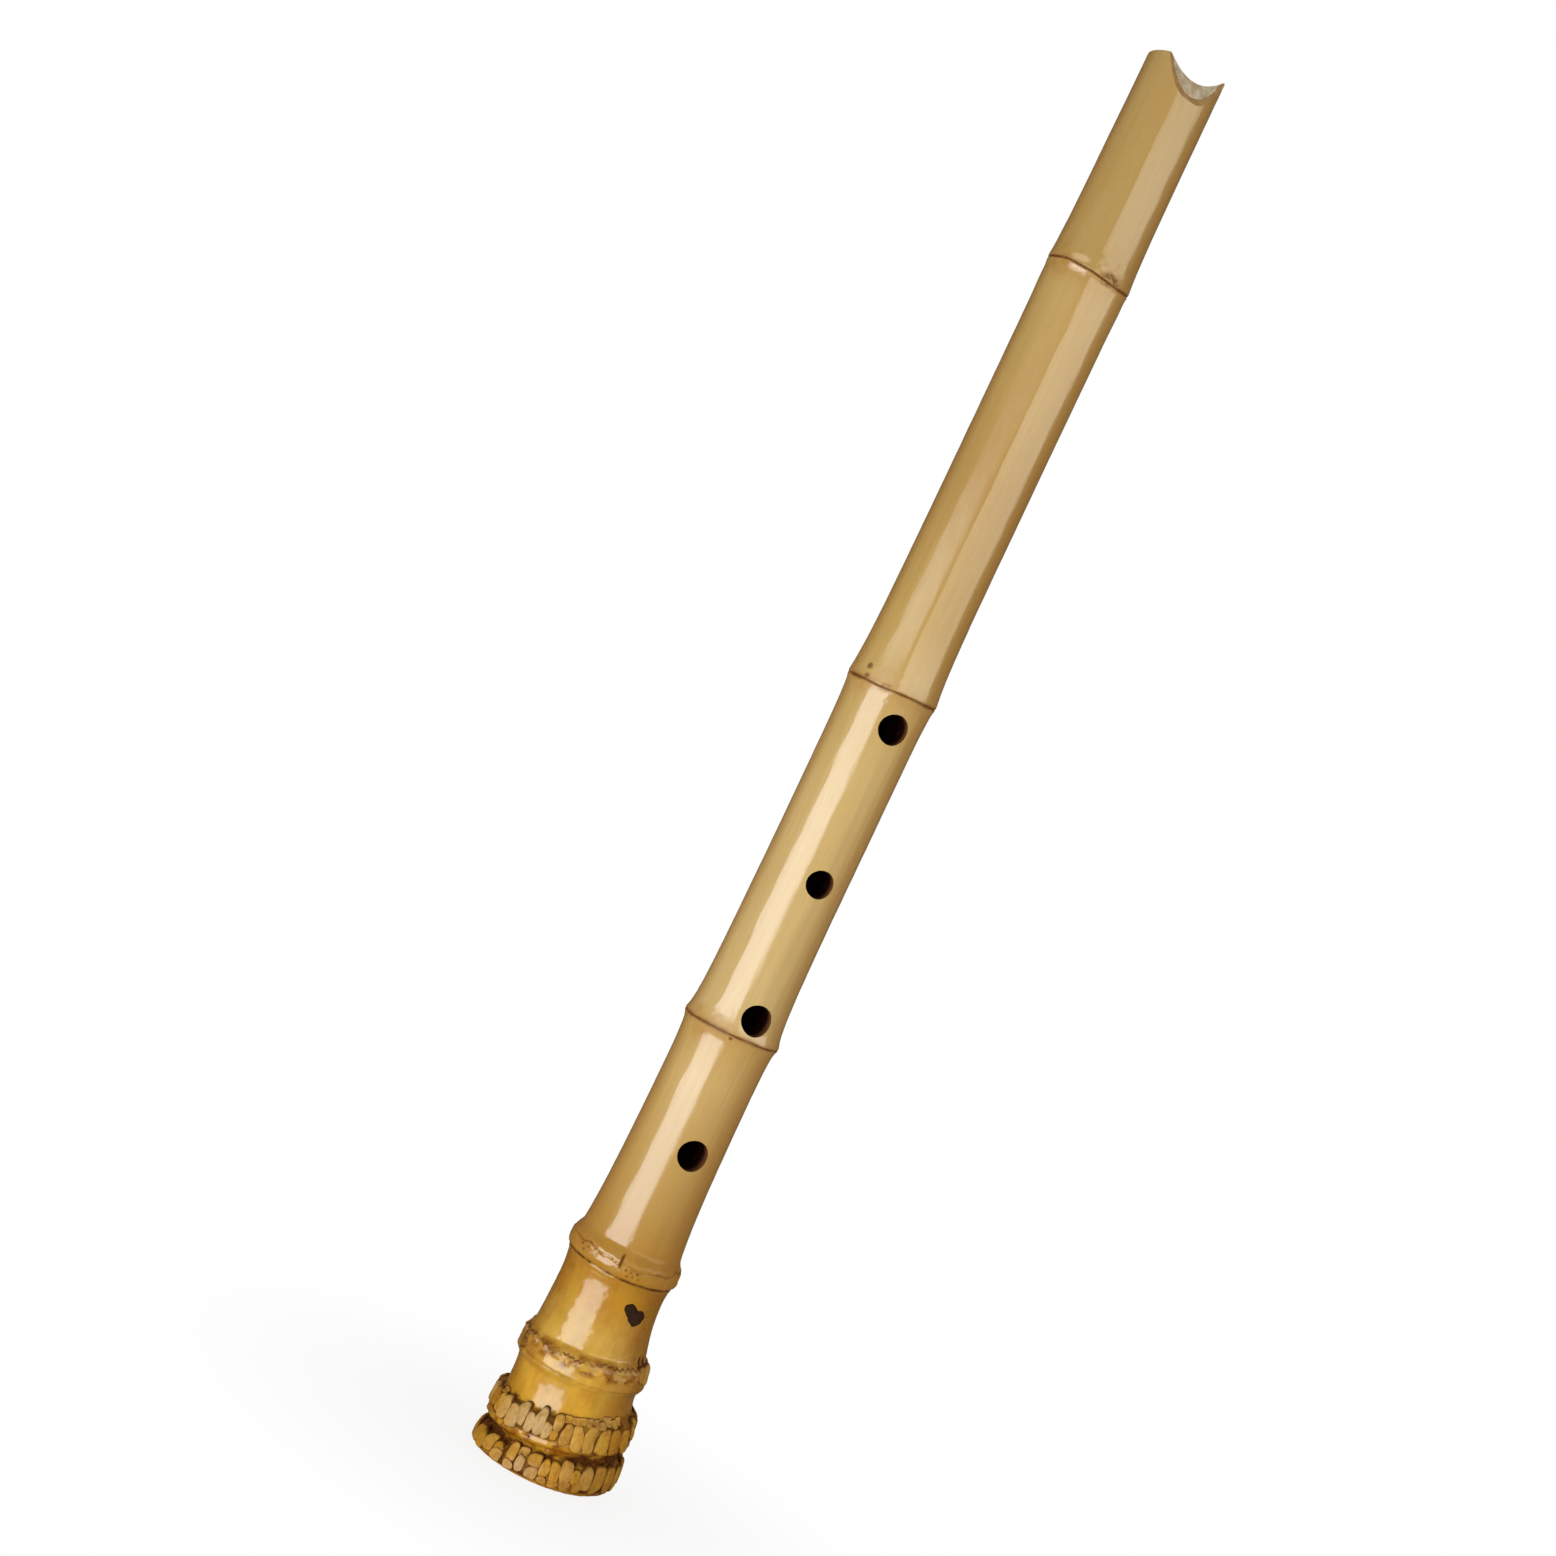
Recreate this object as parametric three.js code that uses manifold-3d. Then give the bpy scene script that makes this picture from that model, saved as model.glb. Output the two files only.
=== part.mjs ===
import * as THREE from "three";
import { mergeVertices } from "three/addons/utils/BufferGeometryUtils.js";
import Module from "manifold-3d";

// A one-piece root-end bamboo flute, blown across the cut edge at its top.
// Millimetres. +Z runs up the bore from the root end, which stands on z = 0.
// The finger holes and the mouth cut face -Y and the thumb hole faces +Y.
// A turn is an angle round the bore, in degrees, from -Y towards +X.

// The culm: its taper, and the flare of the root
const fluteLength = 545;
const mouthEndRadius = 14.45;
const rootEndRadius = 16.4;
const rootFlare = 10.4;
const rootFlareLength = 46;

// The root swings to one side of the straight culm
const swayTurn = 67.5;
const rootSway = 5;
const rootSwayLength = 46;

// The bands of the root lie tilted, higher on one side than on the other; the middle band less so
const tiltTurn = 88;
const rootTilt = 4.4;
const midTiltShare = 0.42;

// Nodes with only a line, from the mouth down: where each sits and how the culm swells there
const upperNodeHeight = 464.6;
const upperNodeFlare = 1.1;
const upperNodeShoulder = 0.6;
const middleNodeHeight = 304.1;
const middleNodeFlare = 1.65;
const middleNodeShoulder = 0.47;
const lowerNodeHeight = 171.5;
const lowerNodeFlare = 1.2;
const lowerNodeRidge = 1;
const lowerNodeShoulder = 0.48;
const ridgeLength = 3;
const shoulderStart = 8;
const shoulderLength = 85;
const lineHalfWidth = 0.7;
const lineDepth = 0.4;

// Nodes with a swollen band, from the mouth down
const highBandHeight = 81.9;
const highBandHalf = 6.9;
const highBandRise = 2;
const highBandCrestShare = 0.2;
const highBandFlare = 0.95;
const midBandHeight = 43.1;
const midBandHalf = 6.9;
const midBandRise = 2.2;
const midBandCrestShare = 0.46;
const midBandFlare = 1;
const lowBandHeight = 20.9;
const lowBandHalf = 6.6;
const lowBandRise = 2.1;
const lowBandCrestShare = 0.7;
const lowBandFlare = 0.3;
const rimBandHeight = 7.2;
const rimBandHalf = 5.2;
const rimBandRise = 1;
const rimBandCrestShare = 0.5;
const flareLengthAbove = 12;
const flareLengthBelow = 4;

// The foot: a flat ring to stand on, set towards the low side of the tilt, and the rim's rounding
const footRadius = 20.5;
const footShift = 5.5;
const rimRounding = 4;
const rimUndercut = 2.5;

// The neck between the rim and the low band, cut in on the low side of the tilt
const neckHeight = 12.6;
const neckHalf = 4.5;
const neckDepth = 1.7;

// The flat along the front of the upper culm
const flatTurn = -2;
const flatHalfTurn = 22;
const flatDepth = 0.38;
const flatFadeHeight = 292.5;
const flatFadeLength = 30;

// Cut root stubs, standing in one row on the low band and one on the rim
const bandStubHeight = 22.4;
const bandStubTallness = 10;
const bandStubCount = 42;
const rimStubHeight = 5.8;
const rimStubTallness = 9.2;
const rimStubCount = 43;
const stubWidth = 3.7;
const stubDepth = 1.7;
const stubSink = 0.6;
const stubUnevenShare = 0.1;
const stubStrayShare = 0.12;

// The bud scar on the middle band
const nubTurn = 62;
const nubHeight = 45;
const nubWidth = 10;
const nubTallness = 9;
const nubDepth = 1.3;

// The bore, and the lining that shapes it
const mouthBoreRadius = 10.4;
const waistBoreRadius = 8.2;
const rootBoreRadius = 9.6;
const boreWaistHeight = 97.5;
const liningWall = 1.2;
const clearance = 0.3;

// Holes, from the root up: four in front and one for the thumb behind
const firstHoleHeight = 126.8;
const firstHoleRadius = 5.7;
const secondHoleHeight = 179.4;
const secondHoleRadius = 5.7;
const thirdHoleHeight = 232.1;
const thirdHoleRadius = 5.2;
const fourthHoleHeight = 292;
const fourthHoleRadius = 5.6;
const thumbHoleHeight = 316.5;
const thumbHoleRadius = 5.3;
const backTurn = 180;

// The mouth: a steep cut in front of the bore, a top that slants back from it towards the chin,
// and a bevel that widens the bore there, so that the blowing edge runs nearly across the flute
const mouthTurn = 1;
const mouthCutStart = 8;
const mouthCutAngle = 65;
const topSlantAngle = 5;
const bevelRadius = 14;
const bevelDepth = 6;
const inlayDepth = 2.9;
const inlayMargin = 1.2;
const seatRadiusShare = 0.985;

// The filled scar above the middle band: a long blot with three lobes
const scarTurn = 13;
const scarHeight = 67;
const scarRadius = 4.2;
const scarDepth = 1.8;
const scarLengthTurn = -17;
const scarLengthShare = 0.26;
const scarLobeTurn = 28;
const scarLobeShare = 0.07;

// Facets and cutters
const outerCount = 36;
const boreCount = 24;
const holeCount = 20;
const scarCount = 18;
const stubSides = 6;
const stubRings = 4;
const boreSteps = 6;
const swaySteps = 5;
const leastStep = 0.6;
const overrun = 6;

const wasm = await Module();
wasm.setup();

const { clamp, degToRad, euclideanModulo, lerp, smoothstep } = THREE.MathUtils;
const upAxis = new THREE.Vector3(0, 0, 1);
const lineNodes = [
  { height: upperNodeHeight, flare: upperNodeFlare, ridge: 0, shoulder: upperNodeShoulder },
  { height: middleNodeHeight, flare: middleNodeFlare, ridge: 0, shoulder: middleNodeShoulder },
  { height: lowerNodeHeight, flare: lowerNodeFlare, ridge: lowerNodeRidge, shoulder: lowerNodeShoulder },
];
const bands = [
  {
    height: highBandHeight,
    half: highBandHalf,
    rise: highBandRise,
    crestShare: highBandCrestShare,
    flare: highBandFlare,
  },
  {
    height: midBandHeight,
    half: midBandHalf,
    rise: midBandRise,
    crestShare: midBandCrestShare,
    flare: midBandFlare,
  },
  {
    height: lowBandHeight,
    half: lowBandHalf,
    rise: lowBandRise,
    crestShare: lowBandCrestShare,
    flare: lowBandFlare,
  },
  {
    height: rimBandHeight,
    half: rimBandHalf,
    rise: rimBandRise,
    crestShare: rimBandCrestShare,
    flare: 0,
  },
];
const frontHoles = [
  { height: firstHoleHeight, radius: firstHoleRadius, turn: 0 },
  { height: secondHoleHeight, radius: secondHoleRadius, turn: 0 },
  { height: thirdHoleHeight, radius: thirdHoleRadius, turn: 0 },
  { height: fourthHoleHeight, radius: fourthHoleRadius, turn: 0 },
];
const holes = [...frontHoles, { height: thumbHoleHeight, radius: thumbHoleRadius, turn: backTurn }];

// Directions and the line that the bore follows

function towards(turn) {
  const angle = degToRad(turn);
  return new THREE.Vector3(Math.sin(angle), -Math.cos(angle), 0);
}

function centreAt(height) {
  const sway = rootSway * Math.exp(-((height / rootSwayLength) ** 2));
  return towards(swayTurn).multiplyScalar(sway - rootSway).setZ(height);
}

// The outer form of the culm

function bareRadius(height) {
  const taper = lerp(rootEndRadius, mouthEndRadius, height / fluteLength);
  return taper + rootFlare * Math.exp(-height / rootFlareLength);
}

function flareBeside(flare, above, below) {
  return flare * Math.exp(-Math.max(above / flareLengthAbove, below / flareLengthBelow, 0));
}

// A line node: a ridge with a groove along it, and a shoulder below that fades down the culm
function lineRise(node, height) {
  const above = height - node.height;
  const below = Math.max(-above, 0);
  const ridge = node.ridge * Math.exp(-Math.abs(above) / ridgeLength);
  const groove = lineDepth * Math.max(1 - Math.abs(above) / lineHalfWidth, 0);
  const fade = Math.exp(-below / shoulderLength);
  const shoulder = node.shoulder * smoothstep(below, 0, shoulderStart) * fade;
  return flareBeside(node.flare, above, below) + ridge + shoulder - groove;
}

// A band: level along its crest, with a smooth shoulder on either side
function bandRise(band, height) {
  const above = height - band.height;
  const swelling = band.rise * (1 - smoothstep(Math.abs(above) / band.half, band.crestShare, 1));
  return flareBeside(band.flare, above - band.half, -above - band.half) + swelling;
}

function frontFlat(turn, height) {
  const away = Math.abs(euclideanModulo(turn - flatTurn + 180, 360) - 180);
  const fade = smoothstep(height, flatFadeHeight, flatFadeHeight + flatFadeLength);
  return flatDepth * fade * Math.cos((Math.min(away / flatHalfTurn, 1) * Math.PI) / 2) ** 2;
}

function rootCuts(turn, height) {
  const lowSide = (1 - Math.cos(degToRad(turn - tiltTurn))) / 2;
  const neck = neckDepth * lowSide * (1 - smoothstep(Math.abs(height - neckHeight) / neckHalf, 0, 1));
  return neck + rimUndercut * Math.max(1 - height / rimRounding, 0) ** 2;
}

function outerRadius(turn, height) {
  const lines = lineNodes.reduce((sum, node) => sum + lineRise(node, height), 0);
  const swellings = bands.reduce((sum, band) => sum + bandRise(band, height), 0);
  return bareRadius(height) + lines + swellings - frontFlat(turn, height) - rootCuts(turn, height);
}

// The tilt lifts one side of the root's bands and lowers the other: it grows from the foot,
// and fades in one step below the middle band and one above it
function tiltAt(turn, height) {
  const [midBottom, midTop] = [midBandHeight - midBandHalf, midBandHeight + midBandHalf];
  const fromFoot = 1 - Math.max(1 - height / (rootTilt * 2), 0) ** 2;
  const belowMid = 1 - smoothstep(height, lowBandHeight + lowBandHalf, midBottom);
  const aboveMid = 1 - smoothstep(height, midTop, midTop + flareLengthAbove);
  const share = midTiltShare * aboveMid + (1 - midTiltShare) * belowMid;
  return rootTilt * fromFoot * share * Math.cos(degToRad(turn - tiltTurn));
}

function onCulm(turn, height, radius) {
  const point = centreAt(height).addScaledVector(towards(turn), radius);
  return point.setZ(height + tiltAt(turn, height));
}

// Heights at which the culm's outline changes, lowest first
function outerHeights() {
  const lineShares = [-1, 0, 1];
  const bandShares = [-1, -0.7, -0.3, 0.3, 0.7, 1];
  const aboveShares = [0.7, 1.6];
  const found = [];
  for (const { height, ridge } of lineNodes) {
    found.push(...lineShares.map((share) => height + lineHalfWidth * share));
    found.push(...aboveShares.map((share) => height + flareLengthAbove * share));
    found.push(height - shoulderStart, height - shoulderLength / 2);
    if (ridge > 0) {
      found.push(height - ridgeLength, height + ridgeLength);
    }
  }
  for (const { height, half } of bands) {
    found.push(...bandShares.map((share) => height + half * share));
  }
  const culmStart = highBandHeight + highBandHalf;
  found.push(...aboveShares.map((share) => culmStart + flareLengthAbove * share));
  found.push(flatFadeHeight + flatFadeLength);
  const kept = [];
  for (const height of found.sort((a, b) => a - b)) {
    const last = kept.at(-1) ?? 0;
    if (height - last > leastStep && height < fluteLength - leastStep) {
      kept.push(height);
    }
  }
  return [...kept, fluteLength];
}

// Solids from rings of points, and the passage between geometries and solids

function ring(count, place) {
  return Array.from({ length: count }, (_, index) => place((index * 360) / count));
}

function loftGeometry(rings) {
  const count = rings[0].length;
  const points = rings.flat();
  const faces = [];
  for (let row = 0; row < rings.length - 1; row += 1) {
    for (let index = 0; index < count; index += 1) {
      const next = (index + 1) % count;
      const [low, lowNext] = [row * count + index, row * count + next];
      faces.push(low, lowNext, lowNext + count, low, lowNext + count, low + count);
    }
  }
  const bottom = points.push(meanPoint(rings[0])) - 1;
  const top = points.push(meanPoint(rings.at(-1))) - 1;
  const topStart = (rings.length - 1) * count;
  for (let index = 0; index < count; index += 1) {
    const next = (index + 1) % count;
    faces.push(bottom, next, index, top, topStart + index, topStart + next);
  }
  const geometry = new THREE.BufferGeometry().setFromPoints(points);
  geometry.setIndex(faces);
  return geometry;
}

function meanPoint(points) {
  const sum = points.reduce((total, point) => total.add(point), new THREE.Vector3());
  return sum.divideScalar(points.length);
}

function solidOf(geometry) {
  const bare = geometry.clone();
  bare.deleteAttribute("normal");
  bare.deleteAttribute("uv");
  const merged = mergeVertices(bare);
  const vertProperties = new Float32Array(merged.attributes.position.array);
  const triVerts = new Uint32Array(merged.index.array);
  return new wasm.Manifold(new wasm.Mesh({ numProp: 3, vertProperties, triVerts }));
}

function namedMesh(name, solid, look) {
  const { vertProperties, triVerts } = solid.getMesh();
  const geometry = new THREE.BufferGeometry();
  geometry.setAttribute("position", new THREE.BufferAttribute(vertProperties, 3));
  geometry.setIndex(new THREE.BufferAttribute(triVerts, 1));
  geometry.computeVertexNormals();
  const mesh = new THREE.Mesh(geometry, new THREE.MeshStandardMaterial(look));
  mesh.name = name;
  return mesh;
}

// The body of the culm before anything is cut from it
function outerBody() {
  const footCentre = centreAt(0).addScaledVector(towards(tiltTurn), -footShift);
  const foot = ring(outerCount, (turn) => footCentre.clone().addScaledVector(towards(turn), footRadius));
  const rings = outerHeights().map((height) =>
    ring(outerCount, (turn) => onCulm(turn, height, outerRadius(turn, height))),
  );
  return solidOf(loftGeometry([foot, ...rings]));
}

// The bore, widened all round by a wall; it runs past both ends of the flute
function boreRadius(height) {
  const up = (height - boreWaistHeight) / (fluteLength - boreWaistHeight);
  const down = 1 - height / boreWaistHeight;
  return up > 0
    ? lerp(waistBoreRadius, mouthBoreRadius, up)
    : lerp(waistBoreRadius, rootBoreRadius, down);
}

function boreHeights() {
  const steps = (count, reach) => Array.from({ length: count }, (_, step) => ((step + 1) * reach) / count);
  const swayHeights = steps(swaySteps, rootSwayLength * 2);
  const evenHeights = steps(boreSteps, fluteLength).slice(0, -1);
  const above = evenHeights.filter((height) => height > rootSwayLength * 2 + leastStep);
  return [...swayHeights, ...above, boreWaistHeight].sort((a, b) => a - b);
}

function boreBody(wall, past) {
  const rings = [-past, ...boreHeights(), fluteLength + past].map((height) => {
    const inside = clamp(height, 0, fluteLength);
    const centre = centreAt(inside).setZ(height);
    const radius = boreRadius(inside) + wall;
    return ring(boreCount, (turn) => centre.clone().addScaledVector(towards(turn), radius));
  });
  return solidOf(loftGeometry(rings));
}

// Finger holes: round drillings from the bore's centre line out through the wall
function holeDrill({ height, radius, turn }) {
  const reach = rootEndRadius + overrun;
  const drill = new THREE.CylinderGeometry(radius, radius, reach, holeCount);
  drill.translate(0, -reach / 2, 0);
  drill.rotateZ(degToRad(turn));
  return solidOf(drill.translate(...centreAt(height)));
}

// The half space beyond a plane, as a block large enough for the mouth end
function beyond(point, normal) {
  const size = mouthEndRadius * 4 + overrun;
  const block = new THREE.BoxGeometry(size, size, size).translate(0, 0, size / 2);
  block.applyQuaternion(new THREE.Quaternion().setFromUnitVectors(upAxis, normal));
  return solidOf(block.translate(...point));
}

// The mouth cut falls forwards from a line in front of the bore; the top slants back from there
function mouthPlanes() {
  const forward = towards(mouthTurn);
  const start = centreAt(fluteLength).addScaledVector(forward, mouthCutStart);
  const cutAngle = degToRad(mouthCutAngle);
  const slantAngle = degToRad(topSlantAngle);
  const cutNormal = forward.clone().multiplyScalar(Math.sin(cutAngle)).setZ(Math.cos(cutAngle));
  const slantNormal = forward.clone().multiplyScalar(-Math.sin(slantAngle)).setZ(Math.cos(slantAngle));
  return { forward, start, cutNormal, slantNormal };
}

// The bevel inside the mouth: a cone that meets the bore below and nearly the outside at the top
function mouthBevel() {
  const slope = (bevelRadius - mouthBoreRadius) / bevelDepth;
  const topRadius = bevelRadius + slope * overrun;
  const cone = new THREE.CylinderGeometry(topRadius, mouthBoreRadius, bevelDepth + overrun, outerCount);
  cone.rotateX(Math.PI / 2).translate(0, 0, (overrun - bevelDepth) / 2);
  return solidOf(cone.translate(...centreAt(fluteLength)));
}

// What is cut from every piece at the mouth
function cutMouth(solid, { start, cutNormal, slantNormal }) {
  const sloped = solid.subtract(beyond(start, cutNormal)).subtract(beyond(start, slantNormal));
  return sloped.subtract(mouthBevel());
}

// The seat of the inlay: a round-nosed pocket whose floor lies parallel to the mouth cut
function inlaySeat({ forward, start, cutNormal }, shrink) {
  const seatRadius = mouthEndRadius * seatRadiusShare;
  const seatCentre = mouthEndRadius - inlayMargin - seatRadius;
  const depth = mouthEndRadius * 2 + overrun;
  const post = new THREE.CylinderGeometry(seatRadius - shrink, seatRadius - shrink, depth, outerCount);
  post.rotateX(Math.PI / 2);
  post.translate(...centreAt(fluteLength).addScaledVector(forward, seatCentre));
  const floor = start.clone().addScaledVector(cutNormal, shrink - inlayDepth);
  return solidOf(post).intersect(beyond(floor, cutNormal));
}

// The outline of the scar, narrowed all round by a seam
function scarOutline(shrink) {
  const outline = ring(scarCount, (turn) => {
    const length = scarLengthShare * Math.cos(degToRad((turn - scarLengthTurn) * 2));
    const lobes = scarLobeShare * Math.cos(degToRad((turn - scarLobeTurn) * 3));
    const radius = scarRadius * (1 + length + lobes) - shrink;
    return new THREE.Vector2(Math.cos(degToRad(turn)), Math.sin(degToRad(turn))).multiplyScalar(radius);
  });
  return new THREE.Shape(outline);
}

// The scar's floor lies a depth below the thinnest place of the culm beside the scar
function scarPlug(shrink) {
  const depth = scarDepth - shrink + overrun;
  const plug = new THREE.ExtrudeGeometry(scarOutline(shrink), { depth, bevelEnabled: false, steps: 1 });
  const heights = [-1, 0, 1].map((share) => scarHeight + scarRadius * share);
  const thinnest = Math.min(...heights.map((height) => outerRadius(scarTurn, height)));
  const floorRadius = thinnest - scarDepth + shrink;
  const outward = towards(scarTurn);
  const sideways = new THREE.Vector3().crossVectors(upAxis, outward);
  plug.applyMatrix4(new THREE.Matrix4().makeBasis(sideways, upAxis, outward));
  return solidOf(plug.translate(...centreAt(scarHeight).addScaledVector(outward, floorRadius)));
}

// One cut root: a rounded stub, standing upright on the surface of the culm
function rootStub(turn, height, width, tallness, depth) {
  const stub = new THREE.SphereGeometry(1, stubSides, stubRings).rotateX(Math.PI / 2);
  stub.scale(width / 2, depth, tallness / 2);
  stub.rotateZ(degToRad(turn));
  return solidOf(stub.translate(...onCulm(turn, height, outerRadius(turn, height) - stubSink)));
}

// A row of stubs round the root; two slow waves make their sizes and places uneven
function stubRow(count, height, tallness) {
  const [sizeWave, placeWave] = [2.4, 3.7];
  return Array.from({ length: count }, (_, index) => {
    const uneven = 1 + stubUnevenShare * Math.sin(index * sizeWave);
    const turn = ((index + stubStrayShare * Math.sin(index * placeWave)) * 360) / count;
    return rootStub(turn, height, stubWidth * uneven, tallness / uneven, stubDepth);
  });
}

function rootStubs() {
  return [
    ...stubRow(bandStubCount, bandStubHeight, bandStubTallness),
    ...stubRow(rimStubCount, rimStubHeight, rimStubTallness),
    rootStub(nubTurn, nubHeight, nubWidth, nubTallness, nubDepth),
  ];
}

// What lies below the foot, cut away so that the flute stands on a flat ring
function underFoot() {
  const size = (rootEndRadius + rootFlare) * 4;
  return solidOf(new THREE.BoxGeometry(size, size, overrun).translate(0, 0, -overrun / 2));
}

function drillHoles(solid) {
  return holes.reduce((rest, hole) => rest.subtract(holeDrill(hole)), solid);
}

function culm(body, planes) {
  const rooted = rootStubs().reduce((whole, stub) => whole.add(stub), body);
  const bored = drillHoles(rooted.subtract(boreBody(liningWall + clearance, overrun)));
  const seated = cutMouth(bored, planes).subtract(inlaySeat(planes, 0)).subtract(scarPlug(0));
  const solid = seated.subtract(underFoot());
  return namedMesh("culm", solid, { color: 0xcdaf78, roughness: 0.38, metalness: 0 });
}

function mouthInlay(planes) {
  const solid = cutMouth(inlaySeat(planes, clearance), planes).subtract(boreBody(0, overrun));
  return namedMesh("mouth_inlay", solid, { color: 0xab987a, roughness: 0.5, metalness: 0 });
}

function boreLining(planes) {
  const tube = drillHoles(boreBody(liningWall, 0).subtract(boreBody(0, overrun)));
  const solid = cutMouth(tube, planes).subtract(inlaySeat(planes, 0));
  return namedMesh("bore_lining", solid, { color: 0x1c0806, roughness: 0.25, metalness: 0 });
}

function scarFiller(body) {
  const solid = scarPlug(clearance).intersect(body);
  return namedMesh("scar_filler", solid, { color: 0x3c1e08, roughness: 0.35, metalness: 0 });
}

const body = outerBody();
const planes = mouthPlanes();
const flute = new THREE.Group();
flute.add(culm(body, planes), mouthInlay(planes), boreLining(planes), scarFiller(body));

export default flute;
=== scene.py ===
import math
from collections import namedtuple
from functools import cache

import bpy
import numpy as np
from mathutils import Matrix, Vector


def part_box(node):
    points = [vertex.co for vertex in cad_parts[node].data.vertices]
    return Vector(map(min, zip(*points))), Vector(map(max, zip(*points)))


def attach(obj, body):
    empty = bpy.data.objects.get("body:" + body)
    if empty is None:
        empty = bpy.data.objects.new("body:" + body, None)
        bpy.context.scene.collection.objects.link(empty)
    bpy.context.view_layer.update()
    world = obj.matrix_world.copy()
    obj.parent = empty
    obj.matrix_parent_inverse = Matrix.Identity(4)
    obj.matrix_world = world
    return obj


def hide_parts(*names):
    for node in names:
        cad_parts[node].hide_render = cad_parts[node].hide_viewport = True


# A one-piece root-end bamboo flute. Metres; a turn is an angle in degrees round the bore,
# from the front (-Y), where the finger holes are, towards +X.

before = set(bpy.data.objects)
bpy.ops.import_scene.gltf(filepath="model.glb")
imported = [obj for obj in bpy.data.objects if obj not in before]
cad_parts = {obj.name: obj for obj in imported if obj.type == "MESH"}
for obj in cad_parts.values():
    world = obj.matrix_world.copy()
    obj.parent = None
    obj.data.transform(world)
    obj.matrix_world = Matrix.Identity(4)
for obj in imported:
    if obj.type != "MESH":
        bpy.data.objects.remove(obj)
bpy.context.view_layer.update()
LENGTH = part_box("culm")[1].z

# Culm
MOUTH_END_RADIUS = 0.01445
ROOT_END_RADIUS = 0.0164
ROOT_FLARE = 0.0104
ROOT_FLARE_LENGTH = 0.046
SWAY_TURN = 67.5
ROOT_SWAY = 0.005
ROOT_SWAY_LENGTH = 0.046
TILT_TURN = 88
ROOT_TILT = 0.0044
MID_TILT_SHARE = 0.42
FLARE_ABOVE = 0.012
FLARE_BELOW = 0.004
FOOT_RADIUS = 0.0205
FOOT_SHIFT = 0.0055
RIM_ROUNDING = 0.004
RIM_UNDERCUT = 0.0025
NECK_HEIGHT = 0.0126
NECK_HALF = 0.0045
NECK_DEPTH = 0.0017
FLAT_TURN = -2
FLAT_HALF_TURN = 22
FLAT_DEPTH = 0.00038
FLAT_FADE = (0.2925, 0.3225)

# Unevenness of the culm: everywhere, along it, on the lace, on the stub rows and on the upper bands
SKIN_UNEVENNESS = 0.00004
SLOW_UNEVENNESS = 0.00014
LACE_UNEVENNESS = 0.00034
ROWS_UNEVENNESS = 0.00030
BAND_UNEVENNESS = 0.00009

# Nodes with a line: each is its height, how far the culm flares, rises in a ridge and stays thick beside
# it, how far the line waves and how wide its dark band is
LineNode = namedtuple("LineNode", "height flare ridge shoulder wave dirt")
LINE_NODES = [
    LineNode(0.4646, 0.0011, 0.0, 0.00060, 0.0011, 0.00056),
    LineNode(0.3041, 0.00165, 0.0, 0.00047, -0.0002, 0.00064),
    LineNode(0.1715, 0.0012, 0.0010, 0.00048, 0.0, 0.00070),
]
RIDGE_LENGTH = 0.003
SHOULDER_START = 0.008
SHOULDER_LENGTH = 0.085
LINE_WIDTH = 0.00036
LINE_DEPTH = 0.00038
LINE_UNEVENNESS = 0.0002

# Nodes with a band, and the rim: each is its height, half height and rise, the share of the half height
# that lies level, and how far the culm flares beside it
Band = namedtuple("Band", "height half rise crest flare")
HIGH_BAND = Band(0.0819, 0.0069, 0.0020, 0.20, 0.00095)
MID_BAND = Band(0.0431, 0.0069, 0.0022, 0.46, 0.0010)
LOW_BAND = Band(0.0209, 0.0066, 0.0021, 0.70, 0.0003)
RIM_BAND = Band(0.0072, 0.0052, 0.0010, 0.50, 0.0)
BANDS = [HIGH_BAND, MID_BAND, LOW_BAND, RIM_BAND]

# Lines round the root: each is its height, depth, width and darkness, then how far it wanders, in how many
# steps and from which seed, and last how tall its arches are, how many there are and their seed
LINE_FIELDS = "height depth width dirt wander steps seed arch arches arch_seed"
RootLine = namedtuple("RootLine", LINE_FIELDS, defaults=(0, 1, 0, 0, 1, 0))
ROOT_LINES = {
    "high_ragged": RootLine(0.0822, 0.00026, 0.00034, 0.8, 0.0007, 40, 11, 0.0005, 90, 16),
    "high_crisp": RootLine(0.0774, 0.00050, 0.00048, 1.3),
    "mid_lace": RootLine(0.0467, 0.00050, 0.00032, 1.2, 0.0006, 30, 14, 0.0010, 58, 13),
    "mid_crease": RootLine(0.0410, 0.00022, 0.00042, 0.4),
    "low_tops": RootLine(0.0264, 0.00035, 0.00040, 0.7, 0.0005, 30, 18, 0.0011, 41, 17),
    "rim_crevice": RootLine(0.0122, 0.00085, 0.00125, 1.5, 0.0009, 48, 19),
}
CLIMB_TURN = -14
RAGGED_CLIMB = 0.0024
RAGGED_LEAN = 0.0008
CRISP_CLIMB = 0.0007
LACE_DIP = 0.0009
LACE_DIP_TURN = -33
CREASE_TILT = 0.0018
CREASE_TURN = 5
CREVICE_WIDENING = 0.0010
CREVICE_TURN = -37
UNDERLINE_HEIGHT = 0.0186
UNDERLINE_WIDTH = 0.00045
UNDERLINE_TURN = -40

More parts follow.
